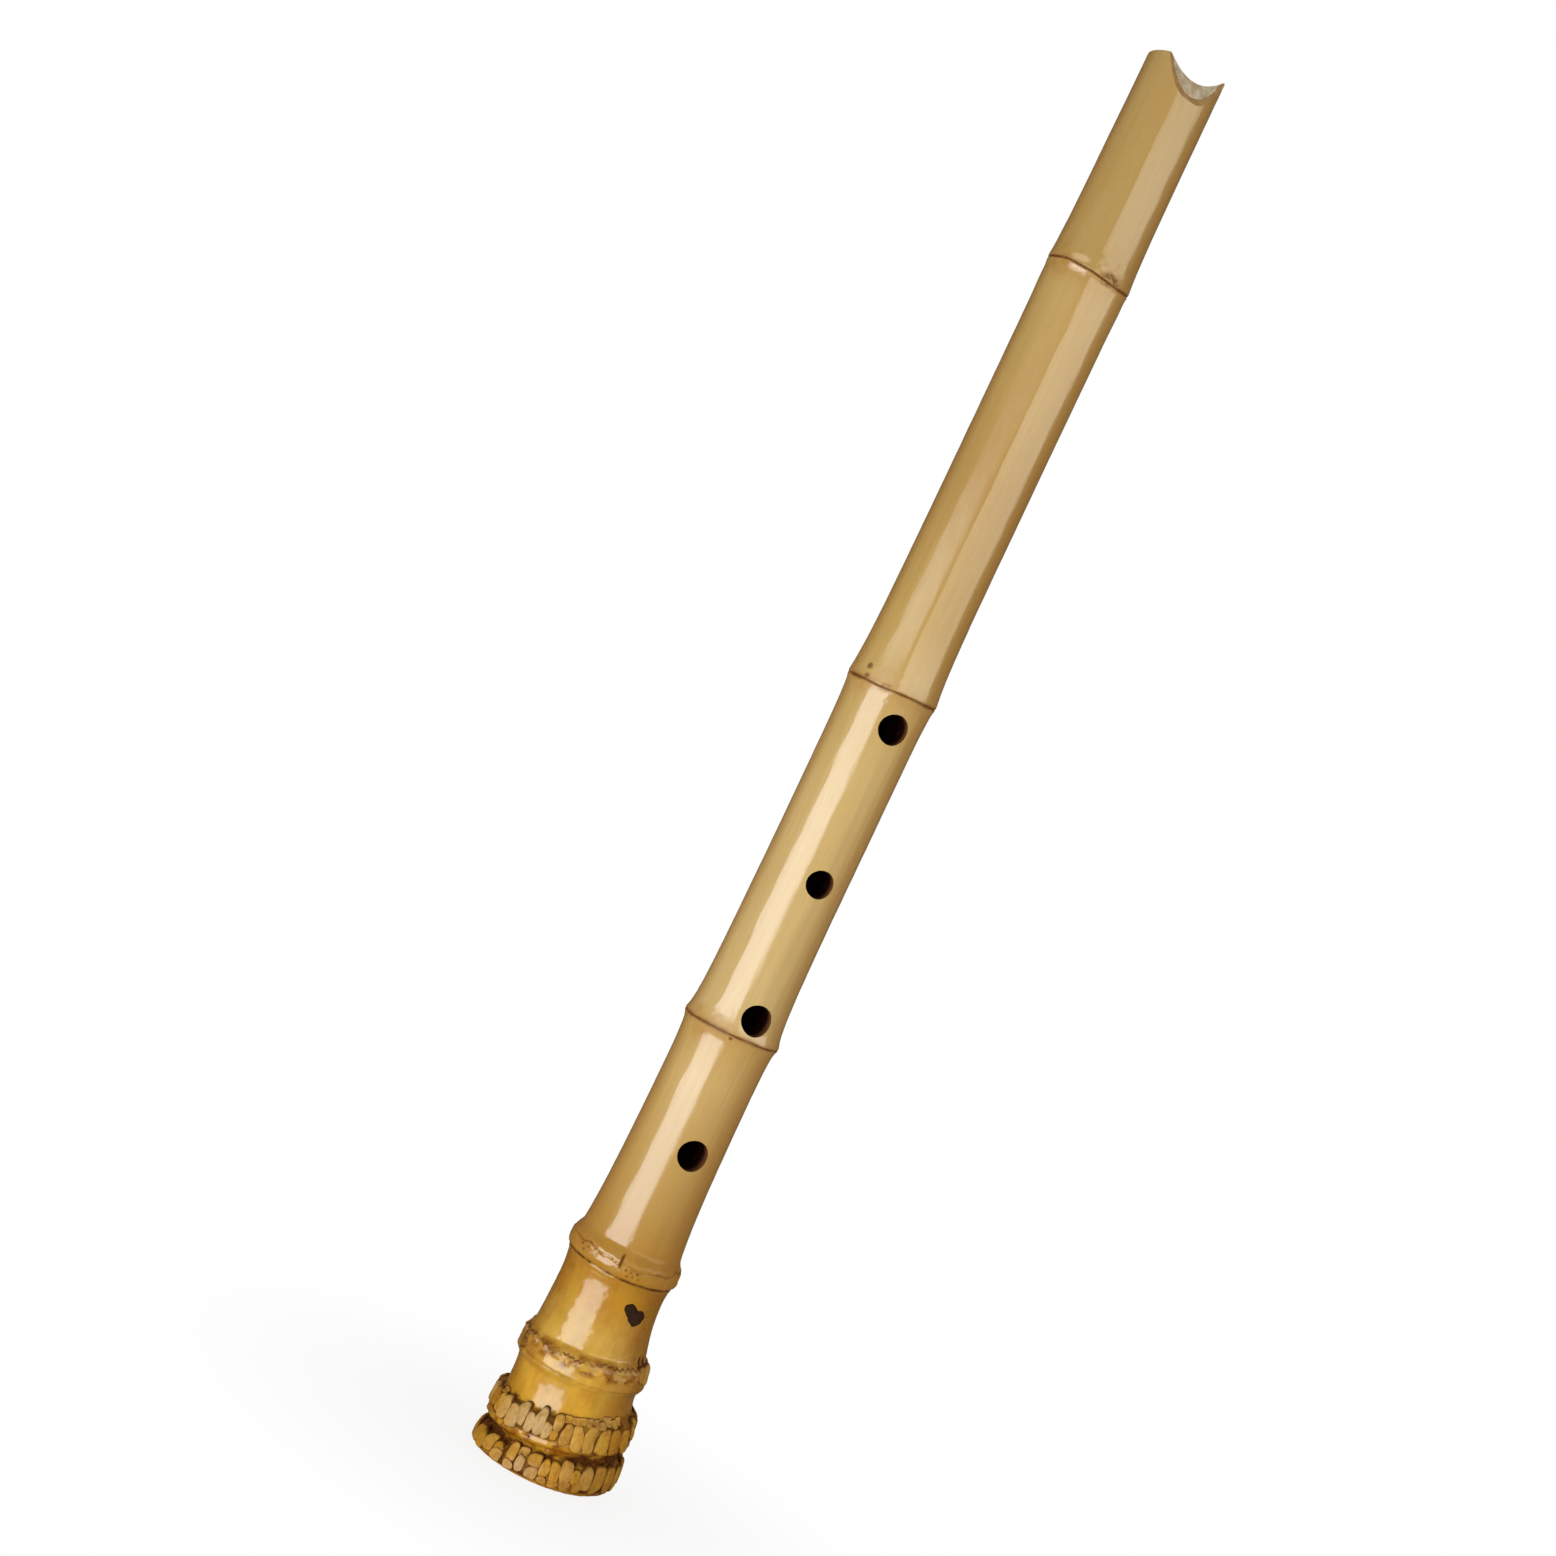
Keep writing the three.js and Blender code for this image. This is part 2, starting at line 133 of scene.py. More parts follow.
# Zones of the root: each is its middle and its half height
LACE_ZONE = (0.0462, 0.0035)
MID_ZONE = (0.0440, 0.0070)
HIGH_ZONE = (0.0810, 0.0062)
KNOT_ZONE = (0.0455, 0.0045)
DARK_BAND_ROW = (0.0226, 0.0046)
DARK_RIM_ROW = (0.0062, 0.0044)
DULL_LACE = (0.0462, 0.0030)
DULL_RIGHT = (0.0855, 0.0080)
DULL_RIGHT_TURN = -24
POLISHED_GAP = (0.0160, 0.0022)

# Heights between which a look fades
ROUGH_FADE = (0.0265, 0.0285)
KNOT_FADE = (0.0270, 0.0290)
DULL_FADE = (0.0250, 0.0275)
UPPER_FADE = (0.12, 0.20)
ROOT_COLOUR_FADE = (0.079, 0.076)

# Bore, lining and holes
MOUTH_BORE_RADIUS = 0.0104
WAIST_BORE_RADIUS = 0.0082
ROOT_BORE_RADIUS = 0.0096
BORE_WAIST_HEIGHT = 0.0975
BORE_SWAY_TOP = 0.12
BORE_PLAIN_START = 0.15
LINING_WALL = 0.0012
SEAM = 0.0001
OVERRUN = ROOT_END_RADIUS
DRILL_LENGTH = ROOT_END_RADIUS * 1.6
Hole = namedtuple("Hole", "height radius turn")
HOLES = [
    Hole(0.1268, 0.0057, 0),
    Hole(0.1794, 0.0057, 0),
    Hole(0.2321, 0.0052, 0),
    Hole(0.2920, 0.0056, 0),
    Hole(0.3165, 0.0053, 180),
]

# Mouth
MOUTH_TURN = 1
CUT_START = 0.008
CUT_ANGLE = math.radians(65)
SLANT_ANGLE = math.radians(5)
BEVEL_RADIUS = 0.014
BEVEL_DEPTH = 0.006
INLAY_DEPTH = 0.0029
INLAY_MARGIN = 0.0012
SEAT_RADIUS_SHARE = 0.985

# Scar
SCAR_TURN = 13
SCAR_HEIGHT = 0.067
SCAR_RADIUS = 0.0041
SCAR_DEPTH = 0.0018
SCAR_LENGTH_TURN = -17
SCAR_LENGTH_SHARE = 0.26
SCAR_LOBE_TURN = 28
SCAR_LOBE_SHARE = 0.07
# Dents in the scar's outline: each is its direction in degrees, half width and share of the radius
SCAR_DENTS = [(58, 42, 0.22), (196, 32, 0.28), (-70, 16, -0.12)]

# Cut roots: the stubs that stand in front, on the low band and on the rim, the scales that lie over
# the rim's stubs, small ones between them, and lumps at the side of the middle band. Each is its turn,
# height, width, tallness and paleness.
FRONT_BAND_STUBS = [
    (-92.0, 0.0228, 0.0062, 0.0078, 0.00),
    (-81.5, 0.0226, 0.0040, 0.0080, 0.05),
    (-72.8, 0.0223, 0.0051, 0.0092, 0.50),
    (-61.2, 0.0213, 0.0052, 0.0090, 0.75),
    (-53.2, 0.0239, 0.0047, 0.0084, 0.95),
    (-44.6, 0.0221, 0.0040, 0.0076, 0.95),
    (-37.0, 0.0235, 0.0048, 0.0104, 1.00),
    (-29.8, 0.0214, 0.0037, 0.0064, 0.90),
    (-22.6, 0.0250, 0.0038, 0.0062, 0.35),
    (-14.1, 0.0216, 0.0043, 0.0082, 0.25),
    (-4.8, 0.0211, 0.0047, 0.0100, 0.30),
    (5.5, 0.0212, 0.0050, 0.0098, 0.20),
    (17.8, 0.0208, 0.0058, 0.0098, 0.05),
    (30.2, 0.0208, 0.0062, 0.0096, 0.00),
    (43.5, 0.0204, 0.0064, 0.0094, 0.00),
]
FRONT_RIM_STUBS = [
    (-95.5, 0.0074, 0.0068, 0.0084, 0.00),
    (-84.0, 0.0066, 0.0054, 0.0094, 0.00),
    (-72.9, 0.0088, 0.0058, 0.0072, 0.20),
    (-61.5, 0.0086, 0.0050, 0.0050, 0.00),
    (-48.8, 0.0102, 0.0042, 0.0064, 0.25),
    (-40.6, 0.0114, 0.0040, 0.0036, 0.40),
    (-29.3, 0.0102, 0.0050, 0.0048, 0.20),
    (-20.2, 0.0084, 0.0042, 0.0064, 0.15),
    (-12.1, 0.0076, 0.0037, 0.0088, 0.10),
    (-3.4, 0.0086, 0.0048, 0.0088, 0.30),
    (4.8, 0.0074, 0.0037, 0.0056, 0.00),
    (14.5, 0.0073, 0.0057, 0.0090, 0.30),
    (26.6, 0.0070, 0.0062, 0.0092, 0.10),
    (39.6, 0.0068, 0.0066, 0.0092, 0.05),
]
RIM_SCALES = [
    (-60.4, 0.0060, 0.0055, 0.0068, 0.40),
    (-47.6, 0.0048, 0.0045, 0.0048, 0.50),
    (-39.3, 0.0072, 0.0036, 0.0072, 0.80),
    (-28.6, 0.0054, 0.0050, 0.0054, 0.55),
    (-19.6, 0.0040, 0.0036, 0.0036, 0.30),
    (-11.0, 0.0036, 0.0040, 0.0034, 0.25),
    (-1.5, 0.0040, 0.0044, 0.0040, 0.20),
    (8.0, 0.0042, 0.0040, 0.0038, 0.10),
]
SMALL_STUBS = [
    (-87.2, 0.0268, 0.0038, 0.0022, 0.20),
    (-23.4, 0.0206, 0.0032, 0.0036, 0.00),
    (-16.5, 0.0268, 0.0036, 0.0024, 0.25),
    (-9.6, 0.0268, 0.0034, 0.0022, 0.35),
    (-3.4, 0.0270, 0.0030, 0.0024, 0.30),
    (2.6, 0.0268, 0.0030, 0.0026, 0.40),
    (8.8, 0.0266, 0.0030, 0.0030, 0.30),
    (14.3, 0.0262, 0.0031, 0.0026, 0.45),
    (20.3, 0.0276, 0.0032, 0.0032, 0.50),
    (27.0, 0.0268, 0.0032, 0.0026, 0.30),
    (33.0, 0.0276, 0.0034, 0.0028, 0.20),
]
SIDE_LUMPS = [
    (58.0, 0.0450, 0.0088, 0.0082, 0.10),
    (45.0, 0.0458, 0.0046, 0.0060, 0.15),
]
BACK_STUB_WIDTH = 0.0046
BAND_STUB_HEIGHT = 0.0224
BAND_STUB_TALLNESS = 0.0092
BAND_STUB_DEPTH = 0.0009
RIM_STUB_HEIGHT = 0.0066
RIM_STUB_TALLNESS = 0.0090
RIM_STUB_DEPTH = 0.0008
STUB_STRAY = (-0.0010, 0.0012)
STUB_REACH = 0.0273
STUB_FOOT = 0.0006
STUB_UNEVENNESS = 0.00010

# A stub's rings, from its base to its face, and the middles of both: each is its share of the stub's size
# and how far it stands out. The waves of its outline are their number and size.
STUB_RINGS = [(1.03, -0.6), (0.99, 0.1), (0.93, 0.62), (0.84, 0.86), (0.68, 0.97), (0.4, 1.0)]
STUB_MIDDLES = [(0.0, -0.6), (0.0, 1.0)]
STUB_WAVES = [(2, 0.05), (3, 0.06), (5, 0.03)]
STUB_SIDES = 32

# Stain, painted shade and scales: the turn that the painted shade on the culm's sides leaves clear, how far
# the brown stain reaches from a node's line, and where the scales lie below the lace
SHADE_FREE_TURN = -30
STAIN_ABOVE = 0.0016
STAIN_BELOW = 0.0036
SCALE_DROP = 0.0009
SCALE_HEIGHT = 0.0007

# Marks on the skin: each is its turn, height, width in degrees, tallness and strength
DARK_SPECKS = [
    (-24.6, 0.0836, 1.7, 0.0030, 1.30),
    (-17.5, 0.0813, 1.5, 0.0005, 0.90),
    (-14.5, 0.0795, 1.5, 0.0005, 0.80),
    (-12.0, 0.0812, 1.5, 0.0005, 0.90),
    (-9.0, 0.0800, 1.5, 0.0005, 0.90),
    (-5.5, 0.0814, 1.5, 0.0005, 0.90),
    (-3.0, 0.0798, 1.5, 0.0005, 0.80),
    (-71.0, 0.0822, 2.0, 0.0006, 0.80),
    (-67.0, 0.0806, 2.0, 0.0006, 0.80),
    (-62.0, 0.0822, 2.0, 0.0005, 0.60),
    (42.0, 0.0500, 3.0, 0.0022, 1.0),
    (50.0, 0.0480, 4.5, 0.0042, 1.0),
    (13.5, 0.0172, 4.0, 0.0014, 0.8),
    (-54.5, 0.0070, 2.5, 0.0050, 1.0),
    (-86.0, 0.0232, 3.0, 0.0030, 0.8),
    (-20.7, 0.1703, 2.6, 0.0007, 0.9),
    (-64.3, 0.3089, 5.0, 0.0013, 0.85),
    (-61.5, 0.3053, 4.5, 0.0012, 0.70),
    (-54.0, 0.0458, 2.2, 0.0006, 0.6),
    (-48.8, 0.0454, 1.6, 0.0005, 0.6),
]
DARK_PATCHES = [
    (33.0, 0.0122, 24.0, 0.0026, 0.9),
    (-55.0, 0.0120, 14.0, 0.0020, 0.9),
    (66.0, 0.0450, 6.0, 0.0050, 0.8),
    (-88.0, 0.0430, 8.0, 0.0050, 0.8),
    (-31.5, 0.3048, 7.0, 0.0011, 0.50),
    (5.4, 0.4648, 17.0, 0.0027, 0.62),
]
# Painted highlights by the node lines, where the lamps' reflections meet the nodes' flares: spots, then
# clouds
PAINTED_HIGHLIGHT_SPOTS = [
    (-42.5, 0.4676, 14.0, 0.0014, 0.75),
    (-43.0, 0.4636, 13.0, 0.0013, 0.80),
    (-29.0, 0.3036, 9.0, 0.0018, 0.45),
]
PAINTED_HIGHLIGHT_CLOUDS = [
    (-40.0, 0.3066, 20.0, 0.0034, 0.45),
    (-36.0, 0.1736, 18.0, 0.0038, 0.55),
    (14.0, 0.1732, 30.0, 0.0022, 0.35),
]
BROWN_CLOUDS = [
    (8.0, 0.4650, 19.0, 0.0040, 0.50),
    (45.0, 0.4640, 20.0, 0.0060, 0.80),
    (-70.0, 0.4640, 24.0, 0.0050, 0.75),
    (-78.0, 0.4685, 14.0, 0.0048, 0.50),
    (-32.0, 0.3048, 10.0, 0.0020, 0.50),
    (-66.0, 0.3016, 16.0, 0.0030, 0.55),
    (12.0, 0.3064, 26.0, 0.0006, 0.35),
    (20.0, 0.3022, 24.0, 0.0016, 0.35),
    (-60.0, 0.1683, 15.0, 0.0032, 0.60),
    (-76.0, 0.1745, 10.0, 0.0030, 0.45),
    (28.0, 0.1660, 10.0, 0.0045, 0.40),
    (36.0, 0.0450, 6.0, 0.0014, 0.90),
    (47.0, 0.0430, 14.0, 0.0050, 0.90),
    (-58.0, 0.0128, 16.0, 0.0040, 0.60),
    (24.0, 0.0215, 10.0, 0.0022, 0.80),
    (-76.0, 0.0430, 16.0, 0.0050, 0.80),
    (-76.0, 0.0240, 14.0, 0.0050, 0.80),
    (40.0, 0.0236, 22.0, 0.0060, 0.85),
    (8.0, 0.0172, 24.0, 0.0040, 0.80),
    # Painted shade on the root's left edge
    (-84.0, 0.0700, 14.0, 0.0160, 0.50),
    (30.0, 0.0760, 24.0, 0.0030, 0.55),
    # Painted shade on the root's right edge
    (34.0, 0.1060, 14.0, 0.0150, 0.45),
    (-71.0, 0.0815, 12.0, 0.0026, 0.70),
    (-36.0, 0.5340, 10.0, 0.0030, 0.25),
]

# The colour of the skin up the culm: each stop is its share of the length, red, green and blue. The darker
# stops round the high band, from 0.125 to 0.155, are painted shade
SKIN_AND_SHADE_COLOURS = [
    (0.000, 196, 140, 26),
    (0.050, 222, 168, 44),
    (0.100, 216, 172, 76),
    (0.125, 194, 140, 34),
    (0.141, 182, 130, 36),
    (0.155, 178, 130, 50),
    (0.190, 190, 150, 80),
    (0.280, 208, 174, 110),
    (0.312, 202, 166, 98),
    (0.325, 212, 182, 122),
    (0.500, 212, 181, 118),
    (0.600, 196, 162, 94),
    (0.700, 186, 150, 86),
    (0.840, 196, 164, 100),
    (0.865, 186, 154, 92),
    (1.000, 185, 154, 94),
]

# The lacquer of a hole's wall, from its outer edge inwards
HOLE_WALL_COLOURS = [
    (0.00, 122, 80, 46),
    (0.36, 92, 54, 30),
    (0.55, 36, 15, 8),
    (1.00, 20, 7, 4),
]

# Rows of points along the culm, and its sides
ROOT_ROWS_TOP = 0.092
ROOT_ROW_STEP = 0.0004
PLAIN_ROW_STEP = 0.0035
NODE_ROWS = (-0.0052, 0.0070, 62)
LEAST_ROW_STEP = 0.00012
CULM_SIDES = 240
NOISE_ROWS = 4096
# How far below the skin a point may lie and still carry its marks
SKIN_TOLERANCE = 0.0006

# Places of the materials of the culm's cut faces
BARE, LACQUERED = 1, 2

# Light
LAMP_DISTANCE = 1.5
FLOOR_HALF = 6.0
SHADOW_FADE = (0.03, 0.15)

# Camera: how far it stands from the flute, at which height and turn, and what it aims at
VIEW_TURN = -24.2
VIEW_DISTANCE = 1.0598
VIEW_HEIGHT = 0.3070
AIM_HEIGHT = 0.2590
AIM_ASIDE = -0.0232
ROLL = math.radians(-25.28)
LENS = 69.3


# Shapes of the culm, on arrays of turns and heights

def smooth(value, low, high):
    share = np.clip((value - low) / (high - low), 0, 1)
    return share * share * (3 - 2 * share)


def hump(away, width):
    """1 in the middle, falling to both sides like a bell."""
    return np.exp(-((away / width) ** 2))


def inside(height, zone, start, end):
    """1 in a zone, fading to 0 between two shares of its half height."""
    middle, half = zone
    return 1 - smooth(np.abs(height - middle) / half, start, end)


@cache
def noise_table(cells, seed):
    return np.random.default_rng(seed).uniform(-1, 1, (NOISE_ROWS, cells))


def lattice_noise(turn, along, cells, seed):
    """Smooth noise from -1 to 1, seamless round the culm; along counts cells up the culm."""
    table = noise_table(cells, seed)
    across = (np.asarray(turn) % 360) / 360 * cells
    low_column = np.floor(across).astype(int)
    low_row = np.floor(along).astype(int)
    side = smooth(across - low_column, 0, 1)
    up = smooth(along - low_row, 0, 1)
    columns = (low_column % cells, (low_column + 1) % cells)
    rows = (low_row % NOISE_ROWS, (low_row + 1) % NOISE_ROWS)
    lower = table[rows[0], columns[0]] * (1 - side) + table[rows[0], columns[1]] * side
    upper = table[rows[1], columns[0]] * (1 - side) + table[rows[1], columns[1]] * side
    return lower * (1 - up) + upper * up


def noise_round(turn, cells, seed, row=0):
    """Noise that changes only round the culm."""
    return lattice_noise(turn, 0 * turn + row, cells, seed)


def sway_at(height):
    return ROOT_SWAY * (hump(height, ROOT_SWAY_LENGTH) - 1)


def towards(turn):
    angle = np.radians(turn)
    return np.sin(angle), -np.cos(angle)


def outward(turn):
    """The level vector at a turn."""
    x, y = towards(turn)
    return Vector((float(x), float(y), 0))


def tilt_at(turn, height):
    """How far the tilt of the root's bands lifts a point; it fades below and above the middle band."""
    low_top = LOW_BAND.height + LOW_BAND.half
    mid_foot = MID_BAND.height - MID_BAND.half
    mid_top = MID_BAND.height + MID_BAND.half
    from_foot = 1 - np.clip(1 - height / (ROOT_TILT * 2), 0, 1) ** 2
    below_mid = 1 - smooth(height, low_top, mid_foot)
    above_mid = 1 - smooth(height, mid_top, mid_top + FLARE_ABOVE)
    share = MID_TILT_SHARE * above_mid + (1 - MID_TILT_SHARE) * below_mid
    return ROOT_TILT * from_foot * share * np.cos(np.radians(turn - TILT_TURN))


def turn_from(turn, middle):
    """How far a turn lies from another one, from -180 to 180."""
    return (turn - middle + 180) % 360 - 180


def line_height(node, turn):
    slow = node.wave * np.sin(np.radians(turn + 20))
    quick = node.wave * 0.4 * np.cos(np.radians(turn + 51) * 3)
    return node.height - slow + quick + LINE_UNEVENNESS * noise_round(turn, 18, 3, node.height * 100)


def flare_beside(flare, above, below):
    return flare * np.exp(-np.maximum(np.maximum(above / FLARE_ABOVE, below / FLARE_BELOW), 0))


def band_rise(band, height):
    above = height - band.height
    swelling = band.rise * (1 - smooth(np.abs(above) / band.half, band.crest, 1))
    return flare_beside(band.flare, above - band.half, -above - band.half) + swelling


def line_rise(node, turn, height):
    above = height - line_height(node, turn)
    below = np.maximum(-above, 0)
    ridge = node.ridge * np.exp(-np.abs(above) / RIDGE_LENGTH)
    shoulder = node.shoulder * smooth(below, 0, SHOULDER_START) * np.exp(-below / SHOULDER_LENGTH)
    groove = LINE_DEPTH * hump(above, LINE_WIDTH)
    return flare_beside(node.flare, above, below) + ridge + shoulder - groove


def scallops(turn, count, seed):
    """A row of uneven arches round the culm, from 0 at their feet to 1 at their tops."""
    shift = 0.9 * noise_round(turn, 23, seed)
    return np.abs(np.sin(np.pi * (np.asarray(turn) / 360 * count + shift)))


def root_lines(turn, height):
    """How far a height lies above each line round the root, and how wide the line is there."""
    climb = np.sin(np.radians(turn - CLIMB_TURN))
    lifts = {
        "high_ragged": (RAGGED_CLIMB + RAGGED_LEAN * climb) * climb**2,
        "high_crisp": CRISP_CLIMB * climb**2,
        "mid_lace": -LACE_DIP * hump(turn_from(turn, LACE_DIP_TURN), 14),
        "mid_crease": -CREASE_TILT * np.cos(np.radians(turn - CREASE_TURN)),
    }
    beside_crevice = smooth(np.abs(turn_from(turn, CREVICE_TURN)), 22, 40)
    widenings = {"rim_crevice": CREVICE_WIDENING * beside_crevice * (1 + 0.4 * noise_round(turn, 64, 20))}
    lines = {}
    for name, line in ROOT_LINES.items():
        above = height - line.height - lifts.get(name, 0)
        above = above - line.wander * noise_round(turn, line.steps, line.seed)
        above = above - line.arch * scallops(turn, line.arches, line.arch_seed)
        lines[name] = (above, line.width + widenings.get(name, 0))
    return lines


def front_flat(turn, height):
    away = np.abs(turn_from(turn, FLAT_TURN)) / FLAT_HALF_TURN
    across = np.cos(np.clip(away, 0, 1) * math.pi / 2) ** 2
    return FLAT_DEPTH * smooth(height, *FLAT_FADE) * across


def root_cuts(turn, height):
    """The neck between the rim and the low band, deepest on the low side, and the rim's rounding."""
    low_side = (1 - np.cos(np.radians(turn - TILT_TURN))) / 2
    neck = NECK_DEPTH * low_side * (1 - smooth(np.abs(height - NECK_HEIGHT) / NECK_HALF, 0, 1))
    return neck + RIM_UNDERCUT * np.clip(1 - height / RIM_ROUNDING, 0, 1) ** 2


def plain_radius(turn, height):
    """The culm's radius without the lines round its root and its unevenness."""
    taper = ROOT_END_RADIUS + (MOUTH_END_RADIUS - ROOT_END_RADIUS) * height / LENGTH
    radius = taper + ROOT_FLARE * np.exp(-height / ROOT_FLARE_LENGTH) - front_flat(turn, height)
    for node in LINE_NODES:
        radius = radius + line_rise(node, turn, height)
    for band in BANDS:
        radius = radius + band_rise(band, height)
    return radius - root_cuts(turn, height)


def culm_radius(turn, height):
    radius = plain_radius(turn, height)
    for name, (above, width) in root_lines(turn, height).items():
        radius = radius - ROOT_LINES[name].depth * hump(above, width)
    on_bands = inside(height, MID_ZONE, 0.8, 1.0) + inside(height, HIGH_ZONE, 0.7, 1.0)
    rough = SKIN_UNEVENNESS + LACE_UNEVENNESS * inside(height, LACE_ZONE, 0.5, 1.1)
    rough = rough + ROWS_UNEVENNESS * (1 - smooth(height, *ROUGH_FADE)) + BAND_UNEVENNESS * on_bands
    slow = SLOW_UNEVENNESS * lattice_noise(turn, height * 24, 7, 23)
    return radius + rough * lattice_noise(turn, height * 600, 84, 22) + slow


def on_culm(turn, height, radius):
    x, y = towards(turn)
    sway_x, sway_y = towards(SWAY_TURN)
    sway = sway_at(height)
    z = height + tilt_at(turn, height)
    return np.stack([sway_x * sway + x * radius, sway_y * sway + y * radius, z], axis=-1)


def centre_at(height):
    x, y = towards(SWAY_TURN)
    sway = float(sway_at(height))
    return Vector((x * sway, y * sway, height))


# Meshes from points and faces

def new_object(name, points, faces):
    mesh = bpy.data.meshes.new(name)
    mesh.from_pydata([tuple(point) for point in points], [], faces)
    mesh.update()
    thing = bpy.data.objects.new(name, mesh)
    bpy.context.scene.collection.objects.link(thing)
    return thing


def shell_faces(rows, count):
    """The faces of a stack of rings, closed to two points that follow them: the bottom and the top."""
    bottom = rows * count
    last = bottom - count
    steps = [(index, (index + 1) % count) for index in range(count)]
    faces = []
    for low in range(0, last, count):
        faces += [(low + a, low + b, low + b + count, low + a + count) for a, b in steps]
    for a, b in steps:
        faces += [(bottom, b, a), (bottom + 1, last + a, last + b)]
    return faces


def loft(name, rings):
    """A closed solid through rings of points, lowest first; each end is closed to its middle."""
    rings = np.asarray(rings)
    ends = [rings[0].mean(axis=0), rings[-1].mean(axis=0)]
    return new_object(name, [*rings.reshape(-1, 3), *ends], shell_faces(*rings.shape[:2]))


def cut(thing, cutter, operation="DIFFERENCE"):
    """Cuts, joins or crosses a solid with another one, which is used up."""
    modifier = thing.modifiers.new("cut", "BOOLEAN")
    modifier.operation = operation
    modifier.solver = "MANIFOLD"
    modifier.object = cutter
    view_layer = bpy.context.view_layer
    view_layer.update()
    shaped = bpy.data.meshes.new_from_object(thing.evaluated_get(bpy.context.evaluated_depsgraph_get()))
    thing.modifiers.clear()
    old, thing.data = thing.data, shaped
    bpy.data.meshes.remove(old)
    bpy.data.objects.remove(cutter)
    return thing


def circle(radius, height, count, centre=(0, 0)):
    x, y = towards(np.arange(count) * 360 / count)
    return np.stack([centre[0] + x * radius, centre[1] + y * radius, 0 * x + height], axis=-1)


def cylinder(radius, length, count=72):
    return loft("cylinder", [circle(radius, height, count) for height in (0, length)])


def place(thing, matrix):
    thing.data.transform(matrix)
    thing.data.update()
    return thing


def facing(direction, point):
    """The matrix that turns +Z to a direction and moves the origin to a point."""
    turned = Vector((0, 0, 1)).rotation_difference(direction).to_matrix().to_4x4()
    return Matrix.Translation(point) @ turned


def beyond(point, normal):
    """A block that fills the side of a plane that its normal points to."""
    size = MOUTH_END_RADIUS * 5
    corners = np.array([(-1, -1), (1, -1), (1, 1), (-1, 1)]) * size / 2
    rings = [np.column_stack([corners, np.full(4, height)]) for height in (0, size)]
    return place(loft("beyond", rings), facing(normal, point))


# The solids that shape the flute

def culm_rows():
    """Heights of the culm's rings: close together at the root and at each line."""
    rows = [*np.arange(RIM_BAND.height - RIM_BAND.half, ROOT_ROWS_TOP, ROOT_ROW_STEP)]
    rows += [*np.arange(ROOT_ROWS_TOP, LENGTH, PLAIN_ROW_STEP)]
    for node in LINE_NODES:
        rows += [*(node.height + np.linspace(*NODE_ROWS))]
    rows = np.array(sorted(rows))
    kept = rows[np.concatenate([[True], np.diff(rows) > LEAST_ROW_STEP])]
    return [*kept[kept < LENGTH - LEAST_ROW_STEP], LENGTH]


def culm_solid():
    turns = np.arange(CULM_SIDES) * 360 / CULM_SIDES
    shift_x, shift_y = towards(TILT_TURN)
    foot = circle(FOOT_RADIUS, 0, CULM_SIDES, (-shift_x * FOOT_SHIFT, -shift_y * FOOT_SHIFT))
    rings = []
    for row in culm_rows():
        heights = 0 * turns + row
        rings.append(on_culm(turns, heights, culm_radius(turns, heights)))
    under = []
    for angle in np.radians(np.arange(15, 90, 15)):
        share = np.array([math.sin(angle), math.sin(angle), 1 - math.cos(angle)])
        under.append(foot + (rings[0] - foot) * share)
    return loft("bamboo_culm", [foot, *under, *rings])


def bore_radius(height):
    down = ROOT_BORE_RADIUS + (WAIST_BORE_RADIUS - ROOT_BORE_RADIUS) * height / BORE_WAIST_HEIGHT
    share = (height - BORE_WAIST_HEIGHT) / (LENGTH - BORE_WAIST_HEIGHT)
    up = WAIST_BORE_RADIUS + (MOUTH_BORE_RADIUS - WAIST_BORE_RADIUS) * share
    return max(down, up)


def bore_solid(wall, past):
    heights = [*np.linspace(0, BORE_SWAY_TOP, 25), *np.linspace(BORE_PLAIN_START, LENGTH, 9)]
    if past:
        heights = [-past, *heights, LENGTH + past]
    rings = []
    for height in heights:
        within = min(max(height, 0), LENGTH)
        rings.append(circle(bore_radius(within) + wall, height, 72, centre_at(within)))
    return loft("bore", rings)


def hole_drill(hole):
    drill = cylinder(hole.radius, DRILL_LENGTH)
    return place(drill, facing(outward(hole.turn), centre_at(hole.height)))


def mouth_planes():
    forward = outward(MOUTH_TURN)
    start = centre_at(LENGTH) + forward * CUT_START
    up = Vector((0, 0, 1))
    cut_normal = forward * math.sin(CUT_ANGLE) + up * math.cos(CUT_ANGLE)
    slant_normal = up * math.cos(SLANT_ANGLE) - forward * math.sin(SLANT_ANGLE)
    return forward, start, cut_normal, slant_normal


def inlay_seat(shrink):
    forward, start, cut_normal, _ = mouth_planes()
    radius = MOUTH_END_RADIUS * SEAT_RADIUS_SHARE
    middle = centre_at(LENGTH) + forward * (MOUTH_END_RADIUS - INLAY_MARGIN - radius)
    middle.z -= MOUTH_END_RADIUS
    post = place(cylinder(radius - shrink, MOUTH_END_RADIUS * 2, 120), Matrix.Translation(middle))
    return cut(post, beyond(start + cut_normal * (shrink - INLAY_DEPTH), cut_normal), "INTERSECT")


